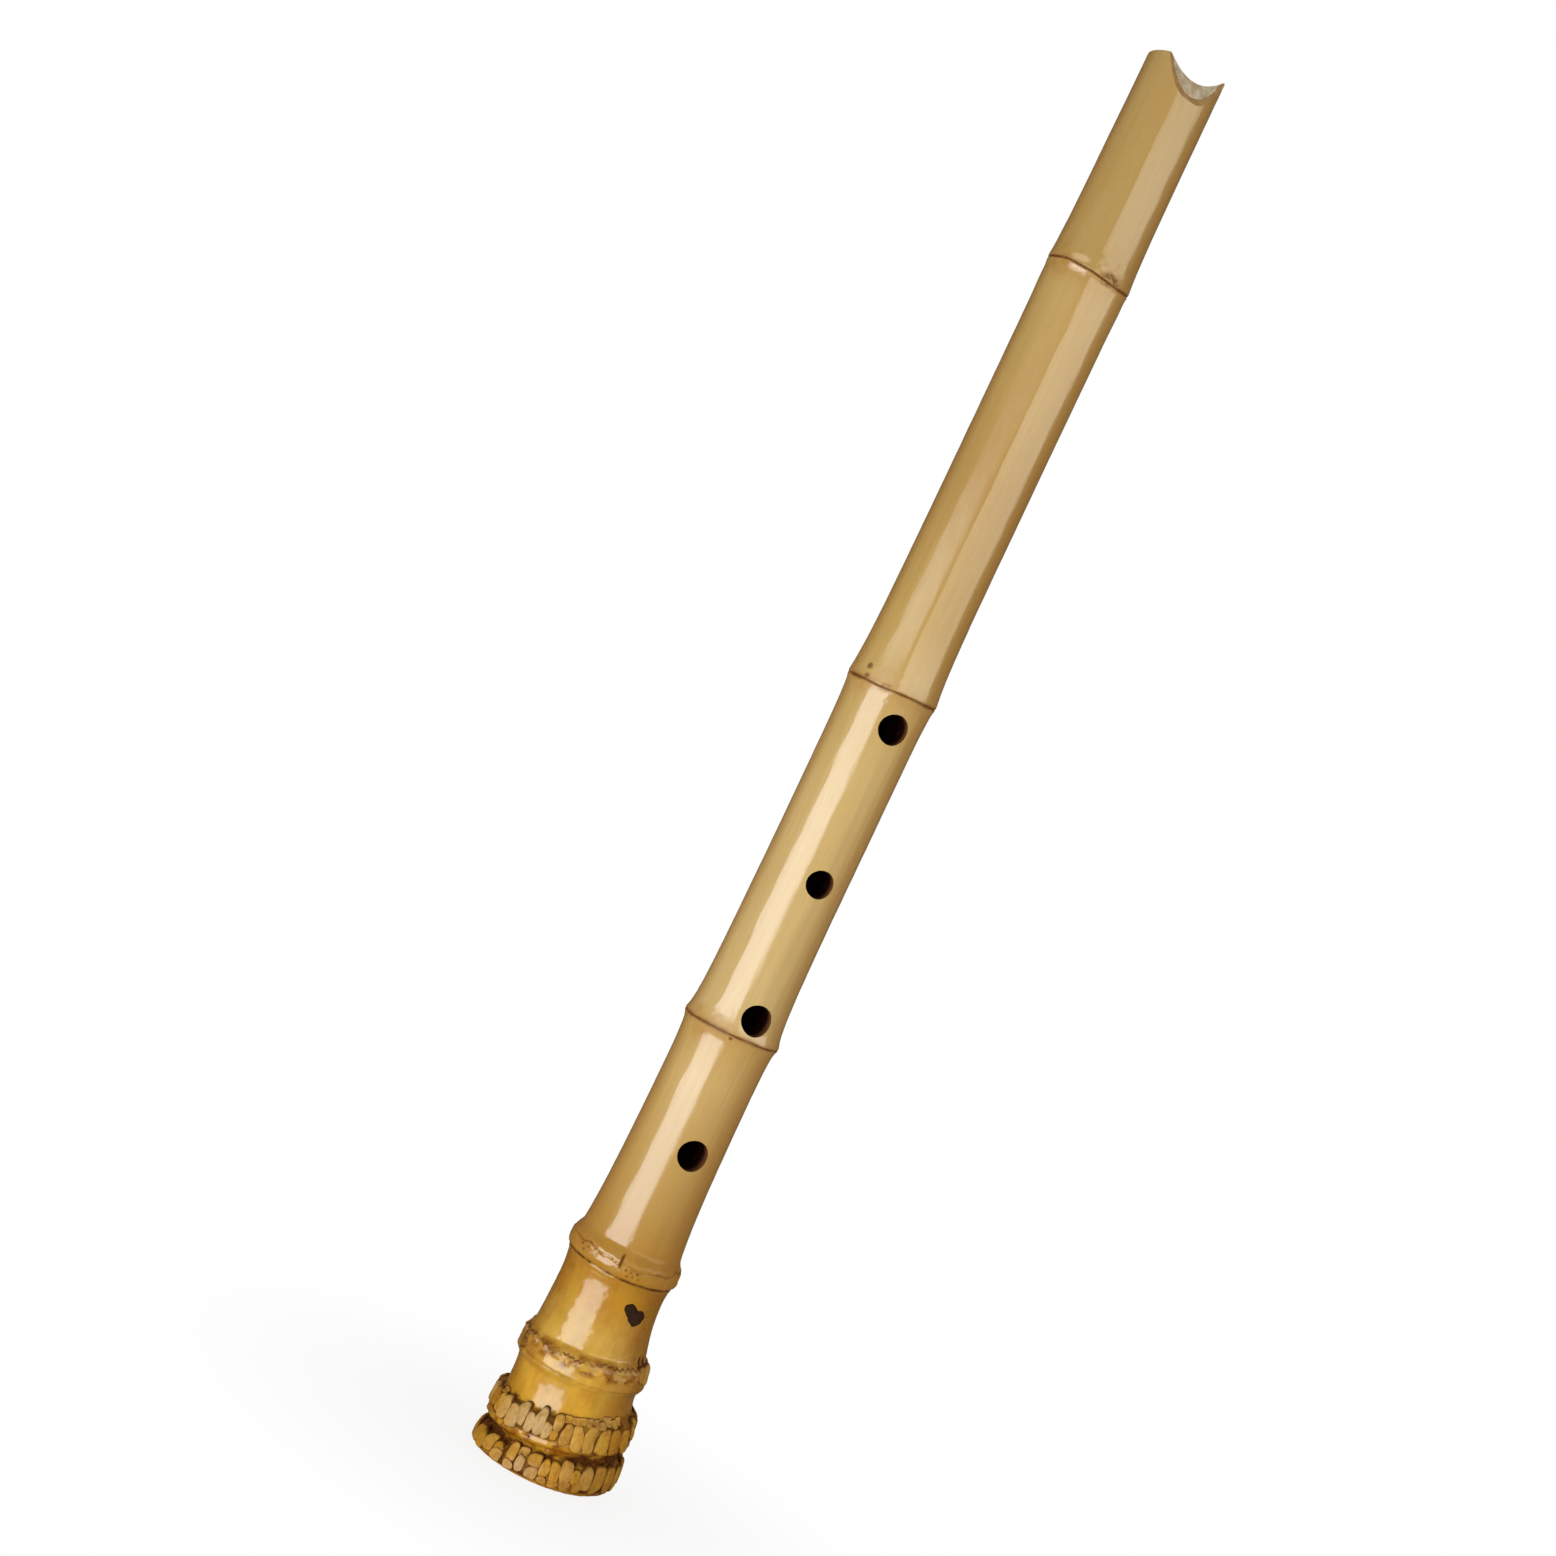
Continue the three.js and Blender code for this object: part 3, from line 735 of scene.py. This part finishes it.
def scar_plug(shrink, count=96):
    turns = np.arange(count) * 360 / count
    length = SCAR_LENGTH_SHARE * np.cos(np.radians(turns - SCAR_LENGTH_TURN) * 2)
    lobes = SCAR_LOBE_SHARE * np.cos(np.radians(turns - SCAR_LOBE_TURN) * 3)
    ragged = 0.02 * np.cos(np.radians(turns) * 9) + 0.015 * np.cos(np.radians(turns - 20) * 14)
    dents = sum(share * hump(turn_from(turns, at), half) for at, half, share in SCAR_DENTS)
    radius = SCAR_RADIUS * (1 + length + lobes + ragged - dents) - shrink
    across, along = radius * np.cos(np.radians(turns)), radius * np.sin(np.radians(turns))
    beside = SCAR_HEIGHT + SCAR_RADIUS * np.array([-1, 0, 1])
    floor = float(plain_radius(SCAR_TURN, beside).min()) - SCAR_DEPTH + shrink
    rings = [np.stack([across, along, 0 * across + z], axis=-1) for z in (floor, floor + 4 * SCAR_DEPTH)]
    up, out = Vector((0, 0, 1)), outward(SCAR_TURN)
    turned = Matrix((up.cross(out), up, out)).transposed().to_4x4()
    return place(loft("plug", rings), Matrix.Translation(centre_at(SCAR_HEIGHT)) @ turned)


def mouth_bevel():
    """A cone that meets the bore below and nearly the outside at the top."""
    slope = (BEVEL_RADIUS - MOUTH_BORE_RADIUS) / BEVEL_DEPTH
    levels = (-BEVEL_DEPTH, BEVEL_DEPTH)
    centre = centre_at(LENGTH)
    return loft("bevel", [circle(BEVEL_RADIUS + slope * z, LENGTH + z, 144, centre) for z in levels])


def cut_mouth(thing):
    _, start, cut_normal, slant_normal = mouth_planes()
    cut(thing, beyond(start, cut_normal))
    cut(thing, beyond(start, slant_normal))
    return cut(thing, mouth_bevel())


# Root stubs: flat-cut pads that follow the culm's surface and are sunk into it

def rounded(part, squareness):
    return np.sign(part) * np.abs(part) ** squareness


def stub_pad(stub, depth, random):
    """Points and faces of one cut root, and its darkening round its edge, paleness and stain."""
    turn, height, width, tallness, pale = stub
    angles = np.arange(STUB_SIDES) * 2 * math.pi / STUB_SIDES
    squareness = random.uniform(0.62, 0.92)
    outline = 1 + sum(size * np.cos(waves * angles + random.uniform(0, 6)) for waves, size in STUB_WAVES)
    across = rounded(np.cos(angles), squareness) * outline * width / 2
    along = rounded(np.sin(angles), squareness) * outline * tallness / 2
    lean = random.uniform(-0.15, 0.15)
    side_slope = random.uniform(-0.35, 0.35)
    down_slope = random.uniform(-0.4, 0.1)
    edge = random.uniform(0.80, 0.90)
    brown = max(random.uniform(-0.15, 0.55) * (1 - pale), 0)
    middle_radius = float(plain_radius(turn, height))
    points, darkening = [], []
    for share, dome in STUB_RINGS + STUB_MIDDLES:
        turns = turn + np.degrees((across + along * lean) * share / middle_radius)
        heights = np.maximum(height + along * share, STUB_FOOT)
        sloped = 1 + side_slope * across * share / width * 2 + down_slope * along * share / tallness * 2
        radius = plain_radius(turns, heights)
        level = np.maximum(radius, middle_radius * 0.4 + radius * 0.6)
        level = level + STUB_UNEVENNESS * lattice_noise(turns, heights * 900, 150, 71)
        ring = on_culm(turns, heights, np.minimum(level + depth * dome * sloped, STUB_REACH))
        kept = STUB_SIDES if share else 1
        points.append(ring[:kept])
        darkening.append(np.full(kept, float(smooth(share, edge, 1.02))))
    darkening = np.concatenate(darkening)
    marks = darkening, np.full(len(darkening), pale), np.full(len(darkening), brown)
    return np.concatenate(points), shell_faces(len(STUB_RINGS), STUB_SIDES), marks


def stub_row(front, height, tallness, depth, random):
    """The stubs that stand in front, and uneven ones that fill the row round the back."""
    stubs = list(front)
    around = math.degrees(BACK_STUB_WIDTH / float(plain_radius(0, height)))
    start, end = front[-1][0] + around * 1.3, front[0][0] + 360 - around * 1.1
    for turn in np.linspace(start, end, round((end - start) / around)):
        width = BACK_STUB_WIDTH * random.uniform(0.92, 1.18)
        place = height + random.uniform(*STUB_STRAY)
        stubs.append((turn, place, width, tallness * random.uniform(0.78, 1.0), random.uniform(0, 0.95) ** 3))
    return [stub_pad(stub, depth * random.uniform(0.75, 1.15), random) for stub in stubs]


def root_stubs():
    random = np.random.default_rng(5)
    return [
        *stub_row(FRONT_BAND_STUBS, BAND_STUB_HEIGHT, BAND_STUB_TALLNESS, BAND_STUB_DEPTH, random),
        *stub_row(FRONT_RIM_STUBS, RIM_STUB_HEIGHT, RIM_STUB_TALLNESS, RIM_STUB_DEPTH, random),
        *[stub_pad(stub, RIM_STUB_DEPTH * 1.3, random) for stub in RIM_SCALES],
        *[stub_pad(stub, BAND_STUB_DEPTH * 0.6, random) for stub in SMALL_STUBS + SIDE_LUMPS],
    ]


def mesh_points(mesh):
    points = np.empty(len(mesh.vertices) * 3)
    mesh.vertices.foreach_get("co", points)
    return points.reshape(-1, 3)


def add_stubs(thing, stubs):
    """Joins the stubs to the culm's mesh, and returns their darkening, paleness and stain."""
    all_points = [mesh_points(thing.data)]
    faces = [tuple(polygon.vertices) for polygon in thing.data.polygons]
    start = len(all_points[0])
    for points, pad_faces, _ in stubs:
        all_points.append(points)
        faces += [tuple(start + corner for corner in face) for face in pad_faces]
        start += len(points)
    joined = bpy.data.meshes.new(thing.name)
    joined.from_pydata(np.concatenate(all_points).tolist(), [], faces)
    joined.update()
    thing.data = joined
    return [np.concatenate(mark) for mark in zip(*[marks for _, _, marks in stubs])]


# Marks on the culm, as numbers on its points

def turn_and_height(points):
    """Where points lie on the culm: the reverse of on_culm."""
    height = np.maximum(points[:, 2], 0)
    sway_x, sway_y = towards(SWAY_TURN)
    turn = 0 * height
    for _ in range(6):
        sway = sway_at(height)
        x = points[:, 0] - sway_x * sway
        y = points[:, 1] - sway_y * sway
        turn = np.degrees(np.arctan2(x, -y))
        height = np.maximum(points[:, 2] - tilt_at(turn, height), 0)
    return turn, height, np.hypot(x, y)


def spot(turn, height, at_turn, at_height, wide, tall):
    """A soft spot: 1 at its middle, 0 beyond its edge; wide is in degrees and tall in metres."""
    away = np.hypot(turn_from(turn, at_turn) / wide, (height - at_height) / tall)
    return 1 - smooth(away, 0.6, 1.15)


def cloud(turn, height, at_turn, at_height, wide, tall):
    """A spot that fades from its middle outwards."""
    away = np.hypot(turn_from(turn, at_turn) / wide, (height - at_height) / tall)
    return np.exp(-1.3 * away**2)


def strongest(turn, height, table, shape):
    """How strong the strongest mark of a table is at each point."""
    return np.max([strength * shape(turn, height, *place) for *place, strength in table], axis=0)


def culm_darkening(turn, height):
    """How much darker the culm is in the lines, the notches and between the cut roots, from 0 to 1."""
    darkening = 0 * height
    for index, node in enumerate(LINE_NODES):
        strength = 0.98 + 0.2 * noise_round(turn, 26, 31, index)
        width = node.dirt * (1 + 0.35 * noise_round(turn, 34, 38, index))
        darkening = np.maximum(darkening, strength * hump(height - line_height(node, turn), width))
    for seed, (name, (above, width)) in enumerate(root_lines(turn, height).items(), 32):
        uneven = 0.78 + 0.5 * noise_round(turn, 30, seed) + 0.5 * lattice_noise(turn, height * 900, 110, 38)
        if name == "rim_crevice":
            uneven = uneven * (1 - 0.7 * hump(turn_from(turn, CREVICE_TURN), 10))
        darkening = np.maximum(darkening, ROOT_LINES[name].dirt * uneven * hump(above, width))
    underline = 0.9 * hump(height - UNDERLINE_HEIGHT, UNDERLINE_WIDTH)
    underline = underline * (1 - smooth(np.abs(turn_from(turn, UNDERLINE_TURN)), 16, 22))
    rows = np.maximum(inside(height, DARK_BAND_ROW, 0.80, 1.05), inside(height, DARK_RIM_ROW, 0.80, 1.05))
    rows = rows * (0.66 + 0.5 * lattice_noise(turn, height * 300, 34, 36))
    patchy = 0.85 + 0.6 * lattice_noise(turn, height * 1500, 120, 37)
    patches = patchy * strongest(turn, height, DARK_PATCHES, spot)
    specks = strongest(turn, height, DARK_SPECKS, spot)
    return np.clip(np.max([darkening, underline, rows, patches, specks], axis=0), 0, 1)


def culm_pale(turn, height):
    """Pale scales below the lace line, and painted highlights by the node lines, from 0 to 1."""
    above, _ = root_lines(turn, height)["mid_lace"]
    scales = np.clip(0.6 + 0.7 * lattice_noise(turn, height * 500, 70, 41), 0, 1)
    scales = 0.8 * scales * hump(above + SCALE_DROP, SCALE_HEIGHT)
    painted_highlights = strongest(turn, height, PAINTED_HIGHLIGHT_SPOTS, spot), strongest(turn, height, PAINTED_HIGHLIGHT_CLOUDS, cloud)
    return np.clip(np.max([scales, *painted_highlights], axis=0), 0, 1)


def culm_stain_and_shade(turn, height):
    """Brown stain by the lines and on the root, and painted shade that browns the culm's sides and the root's
    edges, from 0 to 1.
    """
    stain = 0 * height
    uneven = 0.6 + 0.5 * lattice_noise(turn, height * 220, 12, 51)
    for node in LINE_NODES:
        above = height - line_height(node, turn)
        reach = np.where(above > 0, STAIN_ABOVE, STAIN_BELOW)
        stain = np.maximum(stain, 0.75 * uneven * np.exp(-np.abs(above) / reach))
    upper = smooth(height, *UPPER_FADE)
    # Painted shade: the culm grows browner towards both of its sides
    side = smooth(np.abs(turn_from(turn, SHADE_FREE_TURN)), 34 + 10 * upper, 66) * (0.56 - 0.12 * upper)
    rough_root = inside(height, KNOT_ZONE, 4 / 9, 1) + 1 - smooth(height, *KNOT_FADE)
    knots = smooth(lattice_noise(turn, height * 420, 60, 52), -0.2, 0.6) * np.clip(rough_root, 0, 1) * 0.85
    clouds = strongest(turn, height, BROWN_CLOUDS, cloud)
    clouds = clouds * (0.85 + 0.45 * lattice_noise(turn, height * 400, 40, 53))
    return np.clip(np.max([stain, side, knots, clouds], axis=0), 0, 1)


def culm_matt(turn, height):
    """Where the polish is dull: the stub rows, the lace and the right of the high band, from 0 to 1."""
    lace = 0.5 * inside(height, DULL_LACE, 0.7, 1.1)
    rows = 0.8 * (1 - smooth(height, *DULL_FADE)) * (1 - inside(height, POLISHED_GAP, 0.8, 1.2))
    right = 0.85 * smooth(turn_from(turn, DULL_RIGHT_TURN), 1, 5) * inside(height, DULL_RIGHT, 0.8, 1.1)
    return np.max([lace, rows, right], axis=0)


def set_marks(thing, stub_marks):
    """Writes the marks on the culm's points, and those of its stubs, which come last."""
    mesh = thing.data
    turn, height, radius = turn_and_height(mesh_points(mesh))
    outer = radius > culm_radius(turn, height) - SKIN_TOLERANCE
    marks = [kind(turn, height) * outer for kind in (culm_darkening, culm_pale, culm_stain_and_shade, culm_matt)]
    stub_count = len(stub_marks[0])
    for mark, stub_mark in zip(marks, [*stub_marks, 1]):
        mark[-stub_count:] = stub_mark
    outer[-stub_count:] = True
    marks.append(1.0 * ~outer)
    # The stain mark also carries painted shade on the culm's sides and the root's edges
    for name, values in zip(("darkening", "pale", "stain", "matt", "lacquer"), marks):
        attribute = mesh.attributes.new(name, "FLOAT", "POINT")
        attribute.data.foreach_set("value", values.astype(np.float32))


# Materials

class Nodes:
    """A short way to write shader nodes."""

    def __init__(self, tree):
        self.nodes = tree.nodes
        self.links = tree.links

    def join(self, source, target):
        if hasattr(source, "links"):
            self.links.new(source, target)
        else:
            target.default_value = source

    def node(self, kind, inputs=None, **settings):
        made = self.nodes.new(kind)
        for key, value in settings.items():
            setattr(made, key, value)
        for key, value in (inputs or {}).items():
            self.join(value, made.inputs[key])
        return made

    def spread(self, value, low, high, to_low=0.0, to_high=1.0):
        inputs = {"Value": value, "From Min": low, "From Max": high, "To Min": to_low, "To Max": to_high}
        return self.node("ShaderNodeMapRange", inputs).outputs["Result"]

    def mix(self, share, first, second):
        return self.node("ShaderNodeMix", {0: share, 6: first, 7: second}, data_type="RGBA").outputs[2]

    def maths(self, operation, first, second):
        return self.node("ShaderNodeMath", {0: first, 1: second}, operation=operation).outputs[0]

    def product(self, first, *others):
        for other in others:
            first = self.maths("MULTIPLY", first, other)
        return first

    def ramp(self, value, stops):
        made = self.node("ShaderNodeValToRGB", {0: value})
        elements = made.color_ramp.elements
        while len(elements) < len(stops):
            elements.new(0.5)
        for element, (position, *parts) in zip(elements, stops):
            element.position = position
            element.color = colour(*parts)
        return made.outputs[0]


class Shader(Nodes):
    """The nodes of a new material."""

    def __init__(self, name):
        self.material = bpy.data.materials.new(name)
        self.material.use_nodes = True
        super().__init__(self.material.node_tree)
        self.surface = self.nodes["Principled BSDF"]
        self.place = self.node("ShaderNodeTexCoord").outputs["Object"]

    def set(self, name, source):
        self.join(source, self.surface.inputs[name])

    def attribute(self, name):
        return self.node("ShaderNodeAttribute", attribute_name=name).outputs["Fac"]

    def noise(self, stretch, scale, detail=4, roughness=0.55):
        stretched = self.node("ShaderNodeMapping", {"Vector": self.place, "Scale": stretch}).outputs[0]
        inputs = {"Vector": stretched, "Scale": scale, "Detail": detail, "Roughness": roughness}
        return self.node("ShaderNodeTexNoise", inputs).outputs["Fac"]

    def bump(self, height, strength, distance):
        inputs = {"Height": height, "Strength": strength, "Distance": distance}
        self.set("Normal", self.node("ShaderNodeBump", inputs).outputs[0])


def colour(red, green, blue):
    """A colour given as it looks on a screen, from 0 to 255, as the shader wants it."""
    def linear(part):
        part = part / 255
        return part / 12.92 if part <= 0.04045 else ((part + 0.055) / 1.055) ** 2.4
    return (linear(red), linear(green), linear(blue), 1)


def bamboo():
    shader = Shader("polished_bamboo")
    height = shader.node("ShaderNodeSeparateXYZ", {0: shader.place}).outputs["Z"]
    # Skin colour up the culm, with painted shade round the high band
    skin = shader.ramp(shader.spread(height, 0.0, LENGTH), SKIN_AND_SHADE_COLOURS)
    root_share = shader.spread(height, *ROOT_COLOUR_FADE)
    fibres = shader.noise((1, 1, 0.02), 900, 3)
    streaks = shader.noise((1, 1, 0.012), 170, 2)
    clouds = shader.noise((1, 1, 0.25), 60, 4)
    skin = shader.mix(shader.spread(fibres, 0.3, 0.7, 0.0, 0.14), skin, colour(150, 112, 56))
    skin = shader.mix(shader.spread(streaks, 0.48, 0.72, 0.0, 0.34), skin, colour(176, 138, 74))
    skin = shader.mix(shader.spread(clouds, 0.45, 0.75, 0.0, 0.28), skin, colour(184, 140, 70))
    patch = shader.product(shader.spread(shader.noise((1, 1, 0.8), 140, 5), 0.42, 0.68), root_share)
    skin = shader.mix(shader.product(patch, 0.5), skin, colour(166, 100, 24))
    olive = shader.spread(shader.noise((1, 1, 0.5), 95, 3), 0.5, 0.7, 0.0, 0.45)
    skin = shader.mix(shader.product(olive, root_share), skin, colour(190, 152, 46))
    # The stain mark is brown stain together with painted shade on the culm's sides and the root's edges
    stain, matt = shader.attribute("stain"), shader.attribute("matt")
    brown = shader.mix(root_share, colour(174, 118, 50), colour(146, 84, 6))
    skin = shader.mix(stain, skin, brown)
    # The pale mark is the stubs' pale cut faces, the scales, and painted highlights by the node lines
    pale = shader.mix(root_share, colour(222, 188, 146), colour(194, 160, 104))
    skin = shader.mix(shader.product(shader.attribute("pale"), 0.85), skin, pale)
    flecks = shader.spread(shader.noise((1, 1, 0.6), 620, 4, 0.65), 0.46, 0.66, 0.0, 0.42)
    skin = shader.mix(shader.product(flecks, root_share, matt), skin, colour(128, 74, 20))
    speck = shader.spread(shader.noise((1, 1, 1), 1500, 2), 0.35, 0.65, 0.8, 1.0)
    pits = shader.spread(shader.noise((1, 1, 1), 1100, 2), 0.58, 0.68)
    darkening = shader.product(shader.attribute("darkening"), speck)
    darkening = shader.maths("MAXIMUM", darkening, shader.product(pits, root_share, stain))
    dirt = shader.mix(root_share, colour(96, 50, 6), colour(66, 24, 2))
    shader.set("Base Color", shader.mix(darkening, skin, dirt))
    rough = shader.maths("ADD", shader.spread(darkening, 0.0, 1.0, 0.26, 0.85), shader.product(matt, 0.15))
    shader.set("Roughness", shader.maths("ADD", rough, shader.spread(clouds, 0.4, 0.7, -0.02, 0.05)))
    clean = shader.maths("SUBTRACT", 1.0, shader.maths("MINIMUM", shader.product(darkening, 1.4), 1.0))
    on_root = shader.spread(root_share, 0.0, 1.0, 1.0, 0.82)
    shader.set("Coat Weight", shader.product(clean, on_root, shader.spread(matt, 0.0, 1.0, 1.0, 0.12)))
    shader.set("Coat IOR", 1.65)
    shader.set("Coat Roughness", 0.17)
    shader.set("Specular IOR Level", 0.15)
    shader.bump(shader.maths("ADD", fibres, patch), 0.12, 0.0004)
    return shader.material


def bare_bamboo():
    """Cut bamboo, brown and fibrous."""
    shader = Shader("bare_bamboo")
    fibres = shader.noise((1, 1, 0.05), 1100, 3)
    body = shader.mix(shader.spread(fibres, 0.35, 0.65), colour(184, 146, 96), colour(156, 118, 74))
    shader.set("Base Color", body)
    shader.set("Roughness", shader.spread(fibres, 0.3, 0.7, 0.4, 0.55))
    shader.bump(fibres, 0.15, 0.0003)
    return shader.material


def hole_lacquer():
    """The walls of the holes: lacquer, brown at the outer edge and nearly black further in."""
    shader = Shader("hole_lacquer")
    clouds = shader.noise((1, 1, 1), 500, 4)
    wall_colour = shader.ramp(shader.attribute("lacquer"), HOLE_WALL_COLOURS)
    shader.set("Base Color", shader.mix(shader.spread(clouds, 0.4, 0.7, 0.0, 0.25), wall_colour, colour(44, 18, 10)))
    shader.set("Roughness", shader.spread(clouds, 0.3, 0.7, 0.42, 0.6))
    shader.set("Specular IOR Level", 0.2)
    shader.bump(clouds, 0.1, 0.0003)
    return shader.material


def horn():
    shader = Shader("pale_horn")
    streaks = shader.noise((1, 1, 0.5), 420, 5)
    body = shader.mix(shader.spread(streaks, 0.35, 0.65), colour(214, 201, 172), colour(172, 155, 126))
    warm = shader.spread(shader.noise((1, 1, 1), 260, 2), 0.52, 0.68, 0.0, 0.55)
    shader.set("Base Color", shader.mix(warm, body, colour(190, 150, 108)))
    shader.set("Roughness", shader.spread(streaks, 0.3, 0.7, 0.34, 0.46))
    shader.bump(streaks, 0.08, 0.0003)
    return shader.material


def lacquer(name, dark, light, rough):
    shader = Shader(name)
    clouds = shader.noise((1, 1, 1), 260, 4)
    shader.set("Base Color", shader.mix(shader.spread(clouds, 0.35, 0.7), dark, light))
    shader.set("Roughness", shader.spread(clouds, 0.3, 0.7, rough, rough + 0.12))
    shader.bump(clouds, 0.1, 0.0003)
    return shader.material


# Pieces

def finish_piece(thing, name, node, materials, angle):
    thing.name = name
    thing.data.name = name
    thing.data.materials.clear()
    for material in materials:
        thing.data.materials.append(material)
    thing.data.shade_smooth()
    thing.data.set_sharp_from_angle(angle=math.radians(angle))
    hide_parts(node)
    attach(thing, "root")


def paint_cut_faces(mesh):
    """Bare bamboo on the sawn faces of the mouth, lacquer in the holes, and sharp edges round both."""
    _, _, cut_normal, slant_normal = mouth_planes()
    drills = [(centre_at(hole.height), outward(hole.turn), hole.radius) for hole in HOLES]
    for face in mesh.polygons:
        for centre, out, radius in drills:
            away = face.center - centre
            aside = away - out * away.dot(out)
            if away.dot(out) > 0 and aside.length < radius * 1.001 and face.normal.dot(aside) < 0:
                face.material_index = LACQUERED
        if face.center.z > LENGTH - MOUTH_END_RADIUS * 3:
            sawn = max(face.normal.dot(cut_normal), face.normal.dot(slant_normal)) > 0.999
            from_middle = face.center - centre_at(LENGTH)
            from_middle.z = 0
            if sawn or face.normal.dot(from_middle) < 0:
                face.material_index = BARE
    beside = {}
    for face in mesh.polygons:
        for key in face.edge_keys:
            beside.setdefault(key, set()).add(face.material_index)
    for edge in mesh.edges:
        if len(beside[edge.key]) > 1:
            edge.use_edge_sharp = True


def make_culm():
    thing = culm_solid()
    cut(thing, bore_solid(LINING_WALL + SEAM, OVERRUN))
    for hole in HOLES:
        cut(thing, hole_drill(hole))
    cut_mouth(thing)
    cut(thing, inlay_seat(0))
    cut(thing, scar_plug(0))
    set_marks(thing, add_stubs(thing, root_stubs()))
    finish_piece(thing, "bamboo_culm", "culm", [bamboo(), bare_bamboo(), hole_lacquer()], 32)
    paint_cut_faces(thing.data)


def make_inlay():
    thing = cut_mouth(inlay_seat(SEAM))
    cut(thing, bore_solid(0, OVERRUN))
    finish_piece(thing, "mouth_edge_inlay", "mouth_inlay", [horn()], 30)


def make_lining():
    thing = cut(bore_solid(LINING_WALL, 0), bore_solid(0, OVERRUN))
    for hole in HOLES:
        cut(thing, hole_drill(hole))
    cut_mouth(thing)
    cut(thing, inlay_seat(0))
    material = lacquer("bore_lacquer", colour(30, 8, 4), colour(58, 16, 8), 0.16)
    finish_piece(thing, "lacquered_bore", "bore_lining", [material], 30)


def make_filler():
    thing = cut(culm_solid(), scar_plug(SEAM), "INTERSECT")
    material = lacquer("dark_lacquer_paste", colour(36, 14, 4), colour(58, 28, 8), 0.3)
    finish_piece(thing, "scar_paste", "scar_filler", [material], 30)


# Floor, world, light and camera

def make_floor():
    """A floor that keeps the flute's shadow and glows white away from it."""
    corners = [(FLOOR_HALF * x, FLOOR_HALF * y, 0) for x, y in ((-1, -1), (1, -1), (1, 1), (-1, 1))]
    floor = new_object("floor", corners, [(0, 1, 2, 3)])
    shader = Shader("pale_floor")
    shader.set("Base Color", colour(240, 240, 240))
    shader.set("Roughness", 0.9)
    path = shader.node("ShaderNodeLightPath").outputs
    seen = shader.maths("MAXIMUM", path["Is Camera Ray"], path["Is Glossy Ray"])
    seen = shader.maths("MAXIMUM", seen, path["Is Transmission Ray"])
    away = shader.node("ShaderNodeVectorMath", {0: shader.place}, operation="LENGTH").outputs["Value"]
    share = shader.product(seen, shader.spread(away, *SHADOW_FADE, 0.88, 1.0))
    glow = shader.node("ShaderNodeEmission", {"Color": (1, 1, 1, 1), "Strength": 1.0}).outputs[0]
    blend = shader.node("ShaderNodeMixShader", {0: share, 1: shader.surface.outputs[0], 2: glow})
    shader.join(blend.outputs[0], shader.nodes["Material Output"].inputs["Surface"])
    floor.data.materials.append(shader.material)
    floor.visible_glossy = False
    floor.visible_shadow = False


def make_world():
    """White to the camera, dim as a light, and warm in what the polish mirrors."""
    world = bpy.data.worlds.new("studio")
    world.use_nodes = True
    bpy.context.scene.world = world
    nodes = Nodes(world.node_tree)
    background = nodes.nodes["Background"].inputs
    path = nodes.node("ShaderNodeLightPath").outputs
    direct = nodes.maths("MAXIMUM", path["Is Camera Ray"], path["Is Transmission Ray"])
    nodes.join(nodes.mix(path["Is Glossy Ray"], (1, 1, 1, 1), (0.55, 0.36, 0.16, 1)), background["Color"])
    nodes.join(nodes.spread(direct, 0.0, 1.0, 0.26, 1.0), background["Strength"])


def area_light(name, tint, turn, height, width, tallness, power):
    light = bpy.data.lights.new(name, "AREA")
    light.color = tint
    light.shape = "RECTANGLE"
    light.size = width
    light.size_y = tallness
    light.energy = power
    lamp = bpy.data.objects.new(name, light)
    lamp.location = outward(turn) * LAMP_DISTANCE
    lamp.location.z = height
    lamp.rotation_mode = "QUATERNION"
    lamp.rotation_quaternion = (-outward(turn)).to_track_quat("-Z", "Y")
    lamp.visible_camera = False
    bpy.context.scene.collection.objects.link(lamp)
    return lamp


def make_lights():
    white, warm = (1, 1, 1), (1, 0.93, 0.8)
    area_light("key", white, VIEW_TURN - 31, -0.12, 1.5, 0.84, 17.5)
    area_light("key_top", white, VIEW_TURN - 31, 0.39, 1.5, 0.18, 1.9)
    back = area_light("back", warm, VIEW_TURN + 180, 0.40, 1.3, 0.90, 14)
    back.visible_glossy = False
    area_light("fill", warm, VIEW_TURN + 53, 0.66, 2.6, 0.57, 11)


def make_camera():
    data = bpy.data.cameras.new("camera")
    data.lens = LENS
    data.sensor_width = 36
    camera = bpy.data.objects.new("camera", data)
    bpy.context.scene.collection.objects.link(camera)
    bpy.context.scene.camera = camera
    out = outward(VIEW_TURN)
    right = Vector((-out.y, out.x, 0))
    eye = centre_at(VIEW_HEIGHT) + out * VIEW_DISTANCE
    aim = centre_at(AIM_HEIGHT) + right * AIM_ASIDE
    camera.location = eye
    camera.rotation_mode = "QUATERNION"
    level = (aim - eye).to_track_quat("-Z", "Y")
    camera.rotation_quaternion = level @ Matrix.Rotation(-ROLL, 4, "Z").to_quaternion()


make_camera()
make_lights()
make_world()
make_floor()
make_culm()
make_inlay()
make_lining()
make_filler()

bpy.context.scene.view_settings.view_transform = "Standard"

bpy.context.view_layer.update()
